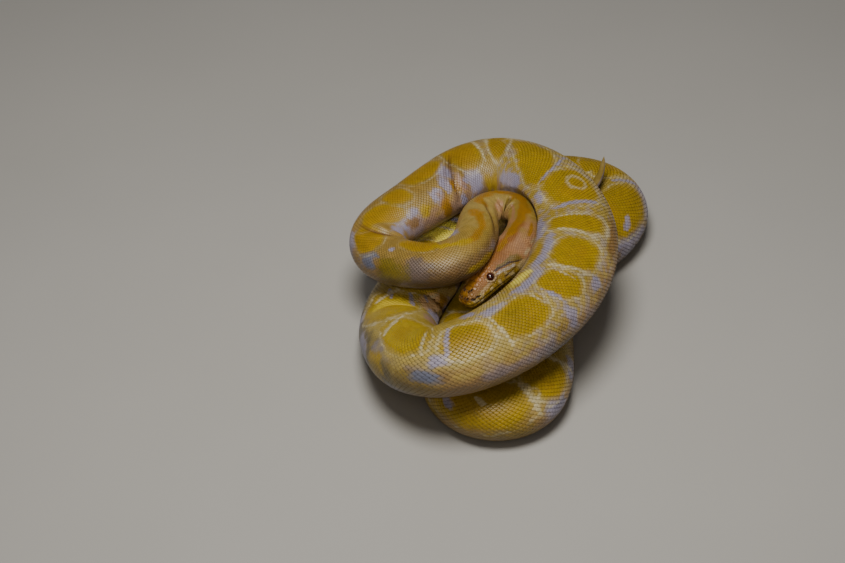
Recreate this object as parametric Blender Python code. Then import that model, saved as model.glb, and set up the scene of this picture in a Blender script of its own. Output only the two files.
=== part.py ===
"""A coiled albino Burmese python, life size, resting on a floor. Metres, +Z up.

The body is a loft along one spine, from the snout to the tail's tip. The spine is a smooth curve through a
few stations, and the girth comes from a profile over the body's length. Where coils press on each other,
both give way to the surface midway between them, and where a coil reaches the floor it lies flat.
The loft is then parted by thin cuts into the head, jaw, neck, trunk lengths and tail.
"""
import math

import bmesh
import bpy
import numpy as np
from mathutils import Vector

# ---------------------------------------------------------------- driving dimensions
HEIGHT_SHARE = 0.76  # the body's height over its width, at rest
FLOOR_FLAT = 0.0020  # how far the belly is pressed flat where it lies on the floor
PRESS_GAP = 0.0010  # left by each of two coils that press on each other
HEAD_GAP = 0.0010  # left round the head, which nothing presses into
FIRMNESS = 0.2  # how much less a thin length gives way than a thick one
THICKEST = 0.040
NODE_GAP = 0.0003  # the thin cut between one length and the next
BEND_LIMIT = 0.88  # how near the inner side of a bend comes to the bend's centre
NEIGHBOUR = 1.45  # lengths this many girths apart along the spine can touch
SAMPLE = 0.002  # spacing of the spine's samples
SMOOTH_PASSES = 60
RING_SPACING = 0.30  # from one ring to the next, over the half girth and a little more
RING_SPACING_MORE = 0.006
RING_POINTS = 20

HEAD_LENGTH = 0.082
HEAD_END = 0.086  # where the neck's node begins
HEAD_LEAN = 0.244  # radians that the head rolls over, its left side up
LEAN_END = 0.130  # where the neck has turned back
EYE_RADIUS = 0.0045
EYE_ALONG = 0.033  # from the snout's tip
EYE_INSET = 0.0068  # from the jaw's side in to the eye's centre
EYE_RISE = 0.0070  # above the head's axis
EYE_CLEARANCE = 0.0003

# ---------------------------------------------------------------- the pose: spine stations (x, y, z)
# A z of 0 means that the body lies on the floor there.
MIDDLE = (0.0020, -0.0286, 0)  # of the coils' outline, which the origin lies under
HEAD_AXIS = [(-0.0385, -0.0918, 0.066), (-0.012, -0.0623, 0.081), (0.013, -0.0359, 0.092)]
NECK_BEND = [
    (0.020, -0.0160, 0.096), (0.021, 0.0015, 0.095), (0.015, 0.019, 0.093), (-0.001, 0.024, 0.093),
    (-0.016, 0.018, 0.093), (-0.0232, 0.0007, 0.095), (-0.0244, -0.0229, 0.100), (-0.029, -0.0482, 0.102),
]
FORE_LENGTH = [(-0.042, -0.0662, 0.100), (-0.067, -0.0698, 0.094), (-0.092, -0.0593, 0.087)]
LEFT_HAIRPIN = [(-0.113, -0.043, 0.080), (-0.122, -0.020, 0.079), (-0.114, 0.003, 0.081), (-0.089, 0.024, 0.085)]
UPPER_COIL = [
    (-0.061, 0.050, 0.088), (-0.032, 0.073, 0.090), (0.000, 0.081, 0.091), (0.034, 0.063, 0.093),
    (0.059, 0.023, 0.094), (0.069, -0.025, 0.094), (0.0625, -0.0715, 0.094), (0.045, -0.111, 0.094),
    (0.0205, -0.1435, 0.093), (-0.006, -0.1685, 0.092), (-0.035, -0.183, 0.088), (-0.062, -0.183, 0.079),
]
LEFT_BEND = [(-0.086, -0.159, 0.060), (-0.0995, -0.108, 0.038), (-0.0955, -0.060, 0)]
LOWER_COIL = [
    (-0.072, -0.013, 0), (-0.045, 0.042, 0), (-0.008, 0.095, 0), (0.030, 0.120, 0), (0.070, 0.127, 0),
    (0.104, 0.116, 0), (0.1155, 0.089, 0), (0.102, 0.058, 0), (0.077, 0.031, 0), (0.052, -0.002, 0),
    (0.036, -0.040, 0), (0.028, -0.082, 0), (0.028, -0.120, 0), (0.027, -0.152, 0), (0.016, -0.179, 0),
    (-0.011, -0.190, 0), (-0.037, -0.179, 0), (-0.049, -0.152, 0), (-0.046, -0.123, 0),
]
TAIL = [
    (-0.040, -0.095, 0), (-0.034, -0.062, 0), (-0.021, -0.028, 0.024), (-0.004, 0.005, 0.036),
    (0.015, 0.028, 0.046), (0.040, 0.043, 0.054), (0.069, 0.059, 0.061), (0.091, 0.074, 0.068),
    (0.1035, 0.0925, 0.0735), (0.1065, 0.111, 0.0825),
]
ROUTE = HEAD_AXIS + NECK_BEND + FORE_LENGTH + LEFT_HAIRPIN + UPPER_COIL + LEFT_BEND + LOWER_COIL + TAIL

# Width of the body at shares of its whole length.
GIRTH = [
    (0.000, 0.030), (0.015, 0.042), (0.032, 0.046), (0.040, 0.038), (0.048, 0.033), (0.062, 0.031),
    (0.080, 0.035), (0.105, 0.044), (0.150, 0.053), (0.200, 0.062), (0.250, 0.073), (0.300, 0.081),
    (0.345, 0.083), (0.400, 0.079), (0.460, 0.077), (0.550, 0.078), (0.700, 0.079), (0.760, 0.077),
    (0.800, 0.071), (0.840, 0.062), (0.880, 0.053), (0.910, 0.043), (0.940, 0.031), (0.965, 0.018),
    (0.985, 0.0095), (1.000, 0.004),
]

# The head, against the distance from the snout's tip: half width, height above the axis, depth below it.
HEAD_HALF_WIDTH = [
    (0.000, 0.0000), (0.0004, 0.0050), (0.0015, 0.0081), (0.004, 0.0103), (0.010, 0.0127), (0.020, 0.0147),
    (0.031, 0.0168), (0.045, 0.0201), (0.057, 0.0225), (0.066, 0.0230), (0.074, 0.0216), (0.082, 0.0188),
    (0.090, 0.0172),
]
HEAD_ABOVE = [
    (0.000, 0.0000), (0.0004, 0.0024), (0.0015, 0.0046), (0.004, 0.0065), (0.010, 0.0084), (0.020, 0.0104),
    (0.031, 0.0127), (0.042, 0.0140), (0.057, 0.0147), (0.074, 0.0146), (0.082, 0.0141), (0.090, 0.0131),
]
HEAD_BELOW = [
    (0.000, 0.0000), (0.0004, 0.0034), (0.0015, 0.0061), (0.004, 0.0082), (0.010, 0.0103), (0.020, 0.0116),
    (0.031, 0.0125), (0.045, 0.0136), (0.060, 0.0147), (0.072, 0.0149), (0.082, 0.0141), (0.090, 0.0131),
]
HEAD_RINGS = [0.0, 0.0015, 0.004, 0.008, 0.013, 0.019, 0.025, 0.031, 0.037, 0.044, 0.051, 0.058, 0.065, 0.072, 0.079]
HEAD_SQUARENESS = 2.5  # of the superellipse that is the head's section, against 2 for the body's
CROWN_TAPER = 0.24  # how much narrower the crown is than the jaws

# The mouth line in the head's side view: distance from the snout's tip, height over the head's axis.
MOUTH_LINE = [(-0.010, -0.0016), (0.004, -0.0016), (0.016, -0.0020), (0.032, -0.0032), (0.048, -0.0046), (0.064, -0.0050)]
JAW_HINGE = (0.068, -0.0080)
THROAT = (0.064, -0.0300)

# ---------------------------------------------------------------- lengths, as distances from the snout's tip
NECK_END = 0.165
VENT_SHARE = 0.88
TRUNK_LENGTHS = 12
TAIL_LENGTHS = 2

# ---------------------------------------------------------------- finishes
SKIN_YELLOW = (0.80, 0.52, 0.07)
SKIN_CREAM = (0.86, 0.66, 0.36)
EYE_RED = (0.16, 0.02, 0.02)


def hermite(stations, at):
    """A smooth curve through the stations, whose first column rises, read at the given places."""
    table = np.array(stations, float)
    x, y = table[:, 0], table[:, 1:]
    chords = np.diff(y, axis=0) / np.diff(x)[:, None]
    slopes = np.vstack([chords[:1], chords[-1:]]).repeat([1, len(x) - 1], axis=0)
    before, after = np.diff(x)[:-1, None], np.diff(x)[1:, None]
    slopes[1:-1] = (chords[:-1] * after + chords[1:] * before) / (before + after)
    at = np.clip(at, x[0], x[-1])
    i = np.clip(np.searchsorted(x, at, side="right") - 1, 0, len(x) - 2)
    step = (x[i + 1] - x[i])[:, None]
    u = ((at - x[i]) / (x[i + 1] - x[i]))[:, None]
    rise = u * u * (3 - 2 * u)
    ease_out, ease_in = u * (1 - u) ** 2, u * u * (u - 1)
    return y[i] * (1 - rise) + y[i + 1] * rise + step * (slopes[i] * ease_out + slopes[i + 1] * ease_in)


def arc_lengths(points):
    return np.concatenate([[0], np.cumsum(np.linalg.norm(np.diff(points, axis=0), axis=1))])


def spaced(points):
    """The same line with a point every SAMPLE, and each point's distance from the start."""
    along = arc_lengths(points)
    places = np.linspace(0, along[-1], int(along[-1] / SAMPLE) + 1)
    return np.stack([np.interp(places, along, points[:, k]) for k in range(3)], axis=1), places


class Spine:
    """The body's centreline, its half width, and the directions across it, by distance from the snout."""

    def __init__(self):
        route = np.array(ROUTE) - MIDDLE
        knots = np.concatenate([[0], np.cumsum(np.linalg.norm(np.diff(route, axis=0), axis=1) ** 0.75)])
        fine = hermite(np.column_stack([knots, route]), np.linspace(0, knots[-1], 25 * len(route)))
        line = self.lie(*spaced(fine))
        for _ in range(SMOOTH_PASSES):
            line[1:-1] = (line[:-2] + 2 * line[1:-1] + line[2:]) / 4
        line, self.along = spaced(line)
        self.line = self.lie(line, self.along)
        self.length = self.along[-1]
        self.firm = self.half + FIRMNESS * (THICKEST - self.half)
        self.tangent = np.gradient(self.line, axis=0)
        self.tangent /= np.linalg.norm(self.tangent, axis=1)[:, None]
        self.bend = np.gradient(self.tangent, self.along, axis=0)

    def lie(self, line, along):
        """Lifts the line to where the belly just meets the floor, wherever it is lower."""
        self.half = hermite(GIRTH, along / along[-1])[:, 0] / 2
        resting = self.half * HEIGHT_SHARE - FLOOR_FLAT
        lifted = np.maximum(line[:, 2], resting)
        return np.column_stack([line[:, :2], lifted])

    def at(self, places):
        """Centres, half widths, sideways and upward directions at these distances from the snout."""
        def read(values):
            return np.stack([np.interp(places, self.along, column) for column in values.T], axis=1)
        tangent = read(self.tangent)
        tangent /= np.linalg.norm(tangent, axis=1)[:, None]
        side = np.cross(tangent, (0, 0, 1))
        side /= np.linalg.norm(side, axis=1)[:, None]
        up = np.cross(side, tangent)
        share = np.clip((LEAN_END - places) / (LEAN_END - HEAD_LENGTH), 0, 1)
        lean = (HEAD_LEAN * share * share * (3 - 2 * share))[:, None]
        side, up = side * np.cos(lean) + up * np.sin(lean), up * np.cos(lean) - side * np.sin(lean)
        half = np.interp(places, self.along, self.half)
        return read(self.line), half, side, up, read(self.bend)


def rings_of(spine, places):
    """The free shape of the body's sections: for each place, RING_POINTS points round the spine."""
    centre, half, side, up, bend = spine.at(places)
    turn = np.arange(RING_POINTS) * 2 * math.pi / RING_POINTS
    in_head = np.clip((HEAD_LENGTH + 0.006 - places) / 0.020, 0, 1)
    power = 2 / (2 + (HEAD_SQUARENESS - 2) * in_head)
    width = np.where(in_head > 0, hermite(HEAD_HALF_WIDTH, places)[:, 0], half)
    above = np.where(in_head > 0, hermite(HEAD_ABOVE, places)[:, 0], half * HEIGHT_SHARE)
    below = np.where(in_head > 0, hermite(HEAD_BELOW, places)[:, 0], half * HEIGHT_SHARE)
    across = np.sign(np.cos(turn)) * np.abs(np.cos(turn)) ** power[:, None]
    rise = np.sign(np.sin(turn)) * np.abs(np.sin(turn)) ** power[:, None]
    across = across * (1 - CROWN_TAPER * in_head[:, None] * np.clip(rise, 0, 1) ** 1.5)
    height = rise * np.where(rise > 0, above[:, None], below[:, None])
    offset = across[..., None] * width[:, None, None] * side[:, None] + height[..., None] * up[:, None]
    inward = np.einsum("ijk,ik->ij", offset, bend)
    offset /= np.maximum(inward / BEND_LIMIT, 1)[..., None]
    return centre, half, offset


def pressed(spine, places, centre, half, offset):
    """Draws each point towards its own centre until it is nearer to it than to any other coil."""
    stretch = np.array([1, 1, 1 / HEIGHT_SHARE])
    others = spine.line * stretch
    apart = np.abs(places[:, None] - spine.along)
    far = apart > NEIGHBOUR * (half[:, None] + spine.half)
    head = spine.along < HEAD_LENGTH  # nothing presses into the head
    share_low = np.zeros(offset.shape[:2])
    share_high = np.ones(offset.shape[:2])
    own = np.linalg.norm(offset * stretch, axis=2)
    firm = np.interp(places, spine.along, spine.firm)

    def clear(share):
        points = (centre[:, None] + share[..., None] * offset) * stretch
        distance = np.linalg.norm(points[:, :, None] - others, axis=3)
        within = (share * own - firm[:, None])[..., None] + 2 * PRESS_GAP
        clear_of = np.where(head, distance - spine.half >= HEAD_GAP, distance - spine.firm >= within)
        return (~far[:, None] | clear_of).all(axis=2)

    whole = clear(share_high)
    for _ in range(12):
        middle = (share_low + share_high) / 2
        ok = clear(middle)
        share_low = np.where(ok, middle, share_low)
        share_high = np.where(ok, share_high, middle)
    share = np.where(whole, 1, share_low)
    share[places < HEAD_LENGTH] = 1
    return share


def body_rings(spine, places):
    centre, half, offset = rings_of(spine, places)
    points = centre[:, None] + pressed(spine, places, centre, half, offset)[..., None] * offset
    points[..., 2] = np.maximum(points[..., 2], 0)
    return points


def ring_places(spine, start, end):
    """Where the rings of one length lie: closer together where the body is thin."""
    along = np.linspace(start, end, 200)
    density = 1 / (RING_SPACING * (np.interp(along, spine.along, spine.half) + RING_SPACING_MORE))
    count = np.concatenate([[0], np.cumsum((density[1:] + density[:-1]) / 2 * np.diff(along))])
    rings = max(3, round(count[-1]) + 1)
    return np.interp(np.linspace(0, count[-1], rings), count, along)


def finish(name, colour, roughness):
    material = bpy.data.materials.new(name)
    material.use_nodes = True
    shader = material.node_tree.nodes["Principled BSDF"]
    shader.inputs["Base Color"].default_value = (*colour, 1)
    shader.inputs["Roughness"].default_value = roughness
    return material


def add_object(name, mesh, material, collection):
    made = bpy.data.objects.new(name, mesh)
    mesh.materials.append(material)
    collection.objects.link(made)
    return made


def loft(name, rings, material, collection):
    """A closed skin over the rings, with a flat cap on the first and the last."""
    shape = bmesh.new()
    loops = [[shape.verts.new(point) for point in ring] for ring in rings]
    for near, far in zip(loops, loops[1:]):
        for k in range(RING_POINTS):
            after = (k + 1) % RING_POINTS
            shape.faces.new((near[k], near[after], far[after], far[k]))
    shape.faces.new(loops[0][::-1])
    shape.faces.new(loops[-1])
    bmesh.ops.recalc_face_normals(shape, faces=shape.faces)
    mesh = bpy.data.meshes.new(name)
    shape.to_mesh(mesh)
    shape.free()
    mesh.shade_smooth()
    return add_object(name, mesh, material, collection)


def head_frame(spine):
    """The point at the snout's tip, the direction to the neck, and the head's side and up directions."""
    centre = spine.at(np.array([0.0, 0.5 * HEAD_LENGTH]))[0]
    tip, back = Vector(centre[0]), Vector(centre[1] - centre[0]).normalized()
    level = back.cross(Vector((0, 0, 1))).normalized()
    across = level * math.cos(HEAD_LEAN) + level.cross(back) * math.sin(HEAD_LEAN)
    return tip, back, across, across.cross(back)


def side_cutter(name, outline, frame, collection):
    """A prism through the whole head whose outline is given in the head's side view."""
    tip, back, across, up = frame
    shape = bmesh.new()
    reach = 0.040
    corners = [tip + back * along + up * height - across * reach for along, height in outline]
    face = shape.faces.new([shape.verts.new(corner) for corner in corners])
    pulled = bmesh.ops.extrude_face_region(shape, geom=[face])
    moved = [item for item in pulled["geom"] if isinstance(item, bmesh.types.BMVert)]
    bmesh.ops.translate(shape, verts=moved, vec=across * 2 * reach)
    bmesh.ops.recalc_face_normals(shape, faces=shape.faces)
    mesh = bpy.data.meshes.new(name)
    shape.to_mesh(mesh)
    shape.free()
    return as_guide(bpy.data.objects.new(name, mesh), collection)


def as_guide(made, collection):
    collection.objects.link(made)
    made.hide_render = True
    made.display_type = "WIRE"
    return made


def boolean(target, cutter, operation):
    modifier = target.modifiers.new(cutter.name, "BOOLEAN")
    modifier.operation = operation
    modifier.object = cutter


def jaw_outline(gap):
    """The region below the mouth line, in the head's side view, drawn back by the gap."""
    line = [(along, height - gap) for along, height in MOUTH_LINE]
    hinge = (JAW_HINGE[0] - gap, JAW_HINGE[1] - gap)
    throat = (THROAT[0] - gap, THROAT[1])
    return line + [hinge, throat, (MOUTH_LINE[0][0], THROAT[1])]


def sphere(name, centre, radius, material, collection):
    shape = bmesh.new()
    bmesh.ops.create_uvsphere(shape, u_segments=14, v_segments=9, radius=radius)
    bmesh.ops.translate(shape, verts=shape.verts, vec=centre)
    mesh = bpy.data.meshes.new(name)
    shape.to_mesh(mesh)
    shape.free()
    mesh.shade_smooth()
    if material is None:
        return as_guide(bpy.data.objects.new(name, mesh), collection)
    return add_object(name, mesh, material, collection)


def eye_centre(spine, way):
    """The eye looks out and up; its centre lies inside the head by most of its radius."""
    centre, _, side, up, _ = spine.at(np.array([EYE_ALONG]))
    half_width = hermite(HEAD_HALF_WIDTH, np.array([EYE_ALONG]))[0, 0]
    return Vector(centre[0] + way * side[0] * (half_width - EYE_INSET) + up[0] * EYE_RISE)


def make_head(spine, collection, guides, skin, eye):
    places = np.append(HEAD_RINGS, HEAD_END - NODE_GAP / 2)
    rings = body_rings(spine, places)
    head = loft("head", rings, skin, collection)
    jaw = loft("lower_jaw", rings, skin, collection)
    frame = head_frame(spine)
    boolean(head, side_cutter("jaw_region", jaw_outline(0), frame, guides), "DIFFERENCE")
    boolean(jaw, side_cutter("jaw_body", jaw_outline(NODE_GAP), frame, guides), "INTERSECT")
    for name, way in (("left", 1), ("right", -1)):
        centre = eye_centre(spine, way)
        socket = sphere("socket_" + name, centre, EYE_RADIUS + EYE_CLEARANCE, None, guides)
        boolean(head, socket, "DIFFERENCE")
        sphere("eye_" + name, centre, EYE_RADIUS, eye, collection)


def make_body(spine, collection, skin):
    vent = VENT_SHARE * spine.length
    bounds = [HEAD_END, NECK_END]
    bounds += list(np.linspace(NECK_END, vent, TRUNK_LENGTHS + 1)[1:])
    bounds += list(np.linspace(vent, spine.length, TAIL_LENGTHS + 1)[1:])
    names = ["neck"] + [f"trunk_{k + 1:02d}" for k in range(TRUNK_LENGTHS)] + ["tail_base", "tail_tip"]
    for name, start, end in zip(names, bounds, bounds[1:]):
        last = end == bounds[-1]
        places = ring_places(spine, start + NODE_GAP / 2, end - (0 if last else NODE_GAP / 2))
        loft(name, body_rings(spine, places), skin, collection)


def main():
    for old in list(bpy.data.objects):
        bpy.data.objects.remove(old)
    collection = bpy.data.collections.new("coiled_python")
    guides = bpy.data.collections.new("guides")
    for made in (collection, guides):
        bpy.context.scene.collection.children.link(made)
    skin = finish("python_skin", SKIN_YELLOW, 0.42)
    head_skin = finish("head_skin", SKIN_CREAM, 0.42)
    eye = finish("eye", EYE_RED, 0.08)
    spine = Spine()
    make_head(spine, collection, guides, head_skin, eye)
    make_body(spine, collection, skin)


main()
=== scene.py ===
"""The coiled albino python's looks: one skin over the whole body, its scales, plates and eyes.

Metres, +Z up. The body's shape is a function of two places on it: along, the distance from the snout's tip
down the spine, and around, from 0 on the middle of the back to -1 or 1 on the middle of the belly.
The skin, every scale and every marking use it, so that they stay together on each bend.
"""
import math

import bmesh
import bpy
import numpy as np
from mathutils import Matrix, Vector

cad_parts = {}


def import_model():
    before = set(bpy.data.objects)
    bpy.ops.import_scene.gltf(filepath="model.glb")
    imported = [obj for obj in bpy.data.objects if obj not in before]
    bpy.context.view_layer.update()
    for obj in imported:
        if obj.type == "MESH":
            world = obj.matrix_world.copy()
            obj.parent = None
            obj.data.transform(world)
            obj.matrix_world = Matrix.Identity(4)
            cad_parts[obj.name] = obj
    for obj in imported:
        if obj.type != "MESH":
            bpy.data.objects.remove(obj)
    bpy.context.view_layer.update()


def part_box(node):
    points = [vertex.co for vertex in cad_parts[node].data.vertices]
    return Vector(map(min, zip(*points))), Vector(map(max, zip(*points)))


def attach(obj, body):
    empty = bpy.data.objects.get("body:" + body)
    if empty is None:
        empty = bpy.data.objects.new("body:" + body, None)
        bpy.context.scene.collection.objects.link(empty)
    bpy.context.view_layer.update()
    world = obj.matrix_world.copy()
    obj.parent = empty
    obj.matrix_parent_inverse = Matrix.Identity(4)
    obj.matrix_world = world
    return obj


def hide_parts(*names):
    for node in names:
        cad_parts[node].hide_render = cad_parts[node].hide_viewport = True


# ================================================================ the body's pose and girth, as in the solids
HEIGHT_SHARE = 0.76
FLOOR_FLAT = 0.0020
FIRMNESS = 0.2
THICKEST = 0.040
BEND_LIMIT = 0.88
NEIGHBOUR = 1.45
SAMPLE = 0.002
SMOOTH_PASSES = 60
HEAD_LENGTH = 0.082
HEAD_TABLES_END = 0.090  # how far the head's tables reach along it

MIDDLE = (0.0020, -0.0286, 0)
HEAD_AXIS = [(-0.0385, -0.0918, 0.066), (-0.012, -0.0623, 0.081), (0.013, -0.0359, 0.092)]
NECK_BEND = [
    (0.020, -0.0160, 0.096), (0.021, 0.0015, 0.095), (0.015, 0.019, 0.093), (-0.001, 0.024, 0.093),
    (-0.016, 0.018, 0.093), (-0.0232, 0.0007, 0.095), (-0.0244, -0.0229, 0.100), (-0.029, -0.0482, 0.102),
]
FORE_LENGTH = [(-0.042, -0.0662, 0.100), (-0.067, -0.0698, 0.094), (-0.092, -0.0593, 0.087)]
LEFT_HAIRPIN = [
    (-0.113, -0.043, 0.080), (-0.122, -0.020, 0.079), (-0.114, 0.003, 0.081), (-0.089, 0.024, 0.085),
]
UPPER_COIL = [
    (-0.061, 0.050, 0.088), (-0.032, 0.073, 0.090), (0.000, 0.081, 0.091), (0.034, 0.063, 0.093),
    (0.059, 0.023, 0.094), (0.069, -0.025, 0.094), (0.0625, -0.0715, 0.094), (0.045, -0.111, 0.094),
    (0.0205, -0.1435, 0.093), (-0.006, -0.1685, 0.092), (-0.035, -0.183, 0.088), (-0.062, -0.183, 0.079),
]
LEFT_BEND = [(-0.086, -0.159, 0.060), (-0.0995, -0.108, 0.038), (-0.0955, -0.060, 0)]
LOWER_COIL = [
    (-0.072, -0.013, 0), (-0.045, 0.042, 0), (-0.008, 0.095, 0), (0.030, 0.120, 0), (0.070, 0.127, 0),
    (0.104, 0.116, 0), (0.1155, 0.089, 0), (0.102, 0.058, 0), (0.077, 0.031, 0), (0.052, -0.002, 0),
    (0.036, -0.040, 0), (0.028, -0.082, 0), (0.028, -0.120, 0), (0.027, -0.152, 0), (0.016, -0.179, 0),
    (-0.011, -0.190, 0), (-0.037, -0.179, 0), (-0.049, -0.152, 0), (-0.046, -0.123, 0),
]
TAIL = [
    (-0.040, -0.095, 0), (-0.034, -0.062, 0), (-0.021, -0.028, 0.024), (-0.004, 0.005, 0.036),
    (0.015, 0.028, 0.046), (0.040, 0.043, 0.054), (0.069, 0.059, 0.061), (0.091, 0.074, 0.068),
    (0.1035, 0.0925, 0.0735), (0.1065, 0.111, 0.0825),
]
ROUTE = HEAD_AXIS + NECK_BEND + FORE_LENGTH + LEFT_HAIRPIN + UPPER_COIL + LEFT_BEND + LOWER_COIL + TAIL

GIRTH = [
    (0.000, 0.030), (0.015, 0.042), (0.032, 0.046), (0.040, 0.038), (0.048, 0.033), (0.062, 0.031),
    (0.080, 0.035), (0.105, 0.044), (0.150, 0.053), (0.200, 0.062), (0.250, 0.073), (0.300, 0.081),
    (0.345, 0.083), (0.400, 0.079), (0.460, 0.077), (0.550, 0.078), (0.700, 0.079), (0.760, 0.077),
    (0.800, 0.071), (0.840, 0.062), (0.880, 0.053), (0.910, 0.043), (0.940, 0.031), (0.965, 0.018),
    (0.985, 0.0095), (1.000, 0.004),
]
HEAD_HALF_WIDTH = [
    (0.000, 0.0000), (0.0004, 0.0050), (0.0015, 0.0081), (0.004, 0.0103), (0.010, 0.0127), (0.020, 0.0147),
    (0.031, 0.0168), (0.045, 0.0201), (0.057, 0.0225), (0.066, 0.0230), (0.074, 0.0216), (0.082, 0.0188),
    (0.090, 0.0172),
]
HEAD_ABOVE = [
    (0.000, 0.0000), (0.0004, 0.0024), (0.0015, 0.0046), (0.004, 0.0065), (0.010, 0.0084), (0.020, 0.0104),
    (0.031, 0.0127), (0.042, 0.0140), (0.057, 0.0147), (0.074, 0.0146), (0.082, 0.0141), (0.090, 0.0131),
]
HEAD_BELOW = [
    (0.000, 0.0000), (0.0004, 0.0034), (0.0015, 0.0061), (0.004, 0.0082), (0.010, 0.0103), (0.020, 0.0116),
    (0.031, 0.0125), (0.045, 0.0136), (0.060, 0.0147), (0.072, 0.0149), (0.082, 0.0141), (0.090, 0.0131),
]
HEAD_SQUARENESS = 2.5
CROWN_TAPER = 0.24
HEAD_LEAN = 0.244
LEAN_END = 0.130
EYE_ALONG = 0.033

# ================================================================ the skin and what lies on it
COAT_DEPTH = 0.0005  # from the solids' surface in to the skin
FLOOR_LIFT = 0.0006  # of the skin over the floor, filled by the belly's plates
SKIN_GAP = 0.0006  # left by each of two coils that press on each other
TIP_ROUND = 0.007  # of the tail's end

# The mouth line in the head's side view: distance from the snout's tip, height over the head's axis.
MOUTH_LINE = [(0.004, -0.0016), (0.016, -0.0020), (0.032, -0.0032), (0.048, -0.0046), (0.064, -0.0050)]
MOUTH_END = 0.062
MOUTH_DEPTH = 0.0010
LIP_SWELL = 0.00035
BROW_SWELL = 0.0006
JAW_SWELL = 0.0012
NOSTRILS = ((0.0099, 0.086), (0.0122, 0.136))
NOSTRIL_DEPTH = 0.0016
NOSTRIL_SIZE = 0.0014
LABIAL_PITS = (
    (0.0028, 0.09), (0.0034, 0.21), (0.0058, 0.36), (0.0068, 0.41), (0.0103, 0.405), (0.0122, 0.440),
)
PIT_DEPTH = 0.0009
PIT_SIZE = 0.00125
OPENING_SHARE = 1.35  # of the room left between the plates, against a hollow's size
HEAD_GIRTH_FACTOR = 1.55

ROW_WIDTH = 0.00240  # of a row of scales, round the thickest part
ROW_POWER = 0.6
THINNEST_SHARE = 0.18
SCALE_PITCH = 1.55  # from scale to scale along a row, in row widths
BELLY_EDGE = 0.82  # where the scales end and the belly's plates begin
SKIN_FLOOR = 0.0001

# Creases where the skin folds on the inner side of tight bends: a path's points, its depth and width.
CREASES = [
    (((0.3660, -0.26), (0.3560, -0.10), (0.3470, 0.06), (0.3367, 0.263), (0.3330, 0.36)), 0.0022, 0.0042),
    (((0.4770, -0.13), (0.4710, -0.05), (0.4624, 0.103), (0.4548, 0.28), (0.4522, 0.42)), 0.0020, 0.0038),
    (((0.4600, 0.02), (0.4500, 0.17), (0.4440, 0.32)), 0.0010, 0.0040),
    (((0.1400, -0.10), (0.1400, -0.85)), 0.0036, 0.0030),
    (((0.1740, -0.06), (0.1960, -0.23), (0.2220, -0.35)), 0.0018, 0.0028),
    (((0.1570, -0.14), (0.1545, -0.40), (0.1560, -0.62)), 0.0015, 0.0028),
    (((0.1280, -0.20), (0.1262, -0.55)), 0.0012, 0.0026),
    (((0.1560, -0.26), (0.1640, -0.44), (0.1800, -0.56)), -0.0018, 0.0036),
    (((1.0370, 0.18), (1.0450, 0.50)), 0.0018, 0.0040),
    (((1.0250, 0.26), (1.0290, 0.52)), 0.0009, 0.0034),
]

# ================================================================ colours and markings
GROUND = (0.43, 0.31, 0.045)
GROUND_PALE = (0.50, 0.40, 0.15)
WARM_GROUND = (0.30, 0.185, 0.038)
FORE_BROWN = (0.140, 0.082, 0.034)
GOLD = (0.43, 0.285, 0.002)
GOLD_DEEP = (0.39, 0.235, 0.002)
# Lemon yellow, paler than the animal's own: partly the yellow marking, partly painted light in the hollows
# between the coils.
LEMON_AND_PAINTED_LIGHT = (0.95, 0.82, 0.12)
OLIVE_GOLD = (0.20, 0.15, 0.003)
BROWN = (0.28, 0.15, 0.035)
FLANK = (0.43, 0.265, 0.105)
LAVENDER = (0.36, 0.34, 0.50)
STEEL = (0.17, 0.20, 0.32)
DULL = (0.17, 0.125, 0.110)
ROSY_FLANK = (0.42, 0.27, 0.19)
OLIVE_FLANK = (0.17, 0.135, 0.060)
SUNNY = (0.55, 0.42, 0.04)
# Yellow for a streak under a loop: partly the marking's colour, partly painted light where shade falls.
YELLOW_STREAK_AND_PAINTED_LIGHT = (0.66, 0.50, 0.035)
# Painted shade laid along the bottom of each crease.
CREASE_SHADE = (0.14, 0.06, 0.015)
LOW_SIDE_SHADE = 0.40  # painted shade: how much darker the sides are painted towards the belly, for the shade under the body
PALE = (0.66, 0.58, 0.36)
CREAM = (0.60, 0.48, 0.28)
SPECK = (0.10, 0.05, 0.02)
# Painted shade in and round each nostril and heat pit.
HOLLOW_SHADE = (0.035, 0.012, 0.004)
CROWN = (0.34, 0.135, 0.022)
ROSE = (0.47, 0.25, 0.12)
PINK = (0.40, 0.25, 0.20)
# Peach: partly the rosy orange where the coils meet, partly painted light in that shaded corner.
PEACH_AND_PAINTED_LIGHT = (0.80, 0.52, 0.28)
AMBER = (0.38, 0.185, 0.002)
# Umber brown; the streak in the neck's slit uses it as painted shade.
UMBER_AND_PAINTED_SHADE = (0.15, 0.085, 0.028)
SNOUT = (0.26, 0.115, 0.004)
LIP = (0.33, 0.205, 0.010)
LIP_PALE = (0.62, 0.52, 0.30)
EYE_RING = (0.50, 0.34, 0.17)
STRIPE = (0.05, 0.018, 0.002)
STRIPE_GOLD = (0.19, 0.115, 0.002)
# A pale cheek bar, painted lighter to stand for its highlight as well: partly the marking, partly painted
# highlight.
CHEEK_AND_PAINTED_HIGHLIGHT = (0.58, 0.50, 0.42)

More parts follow.
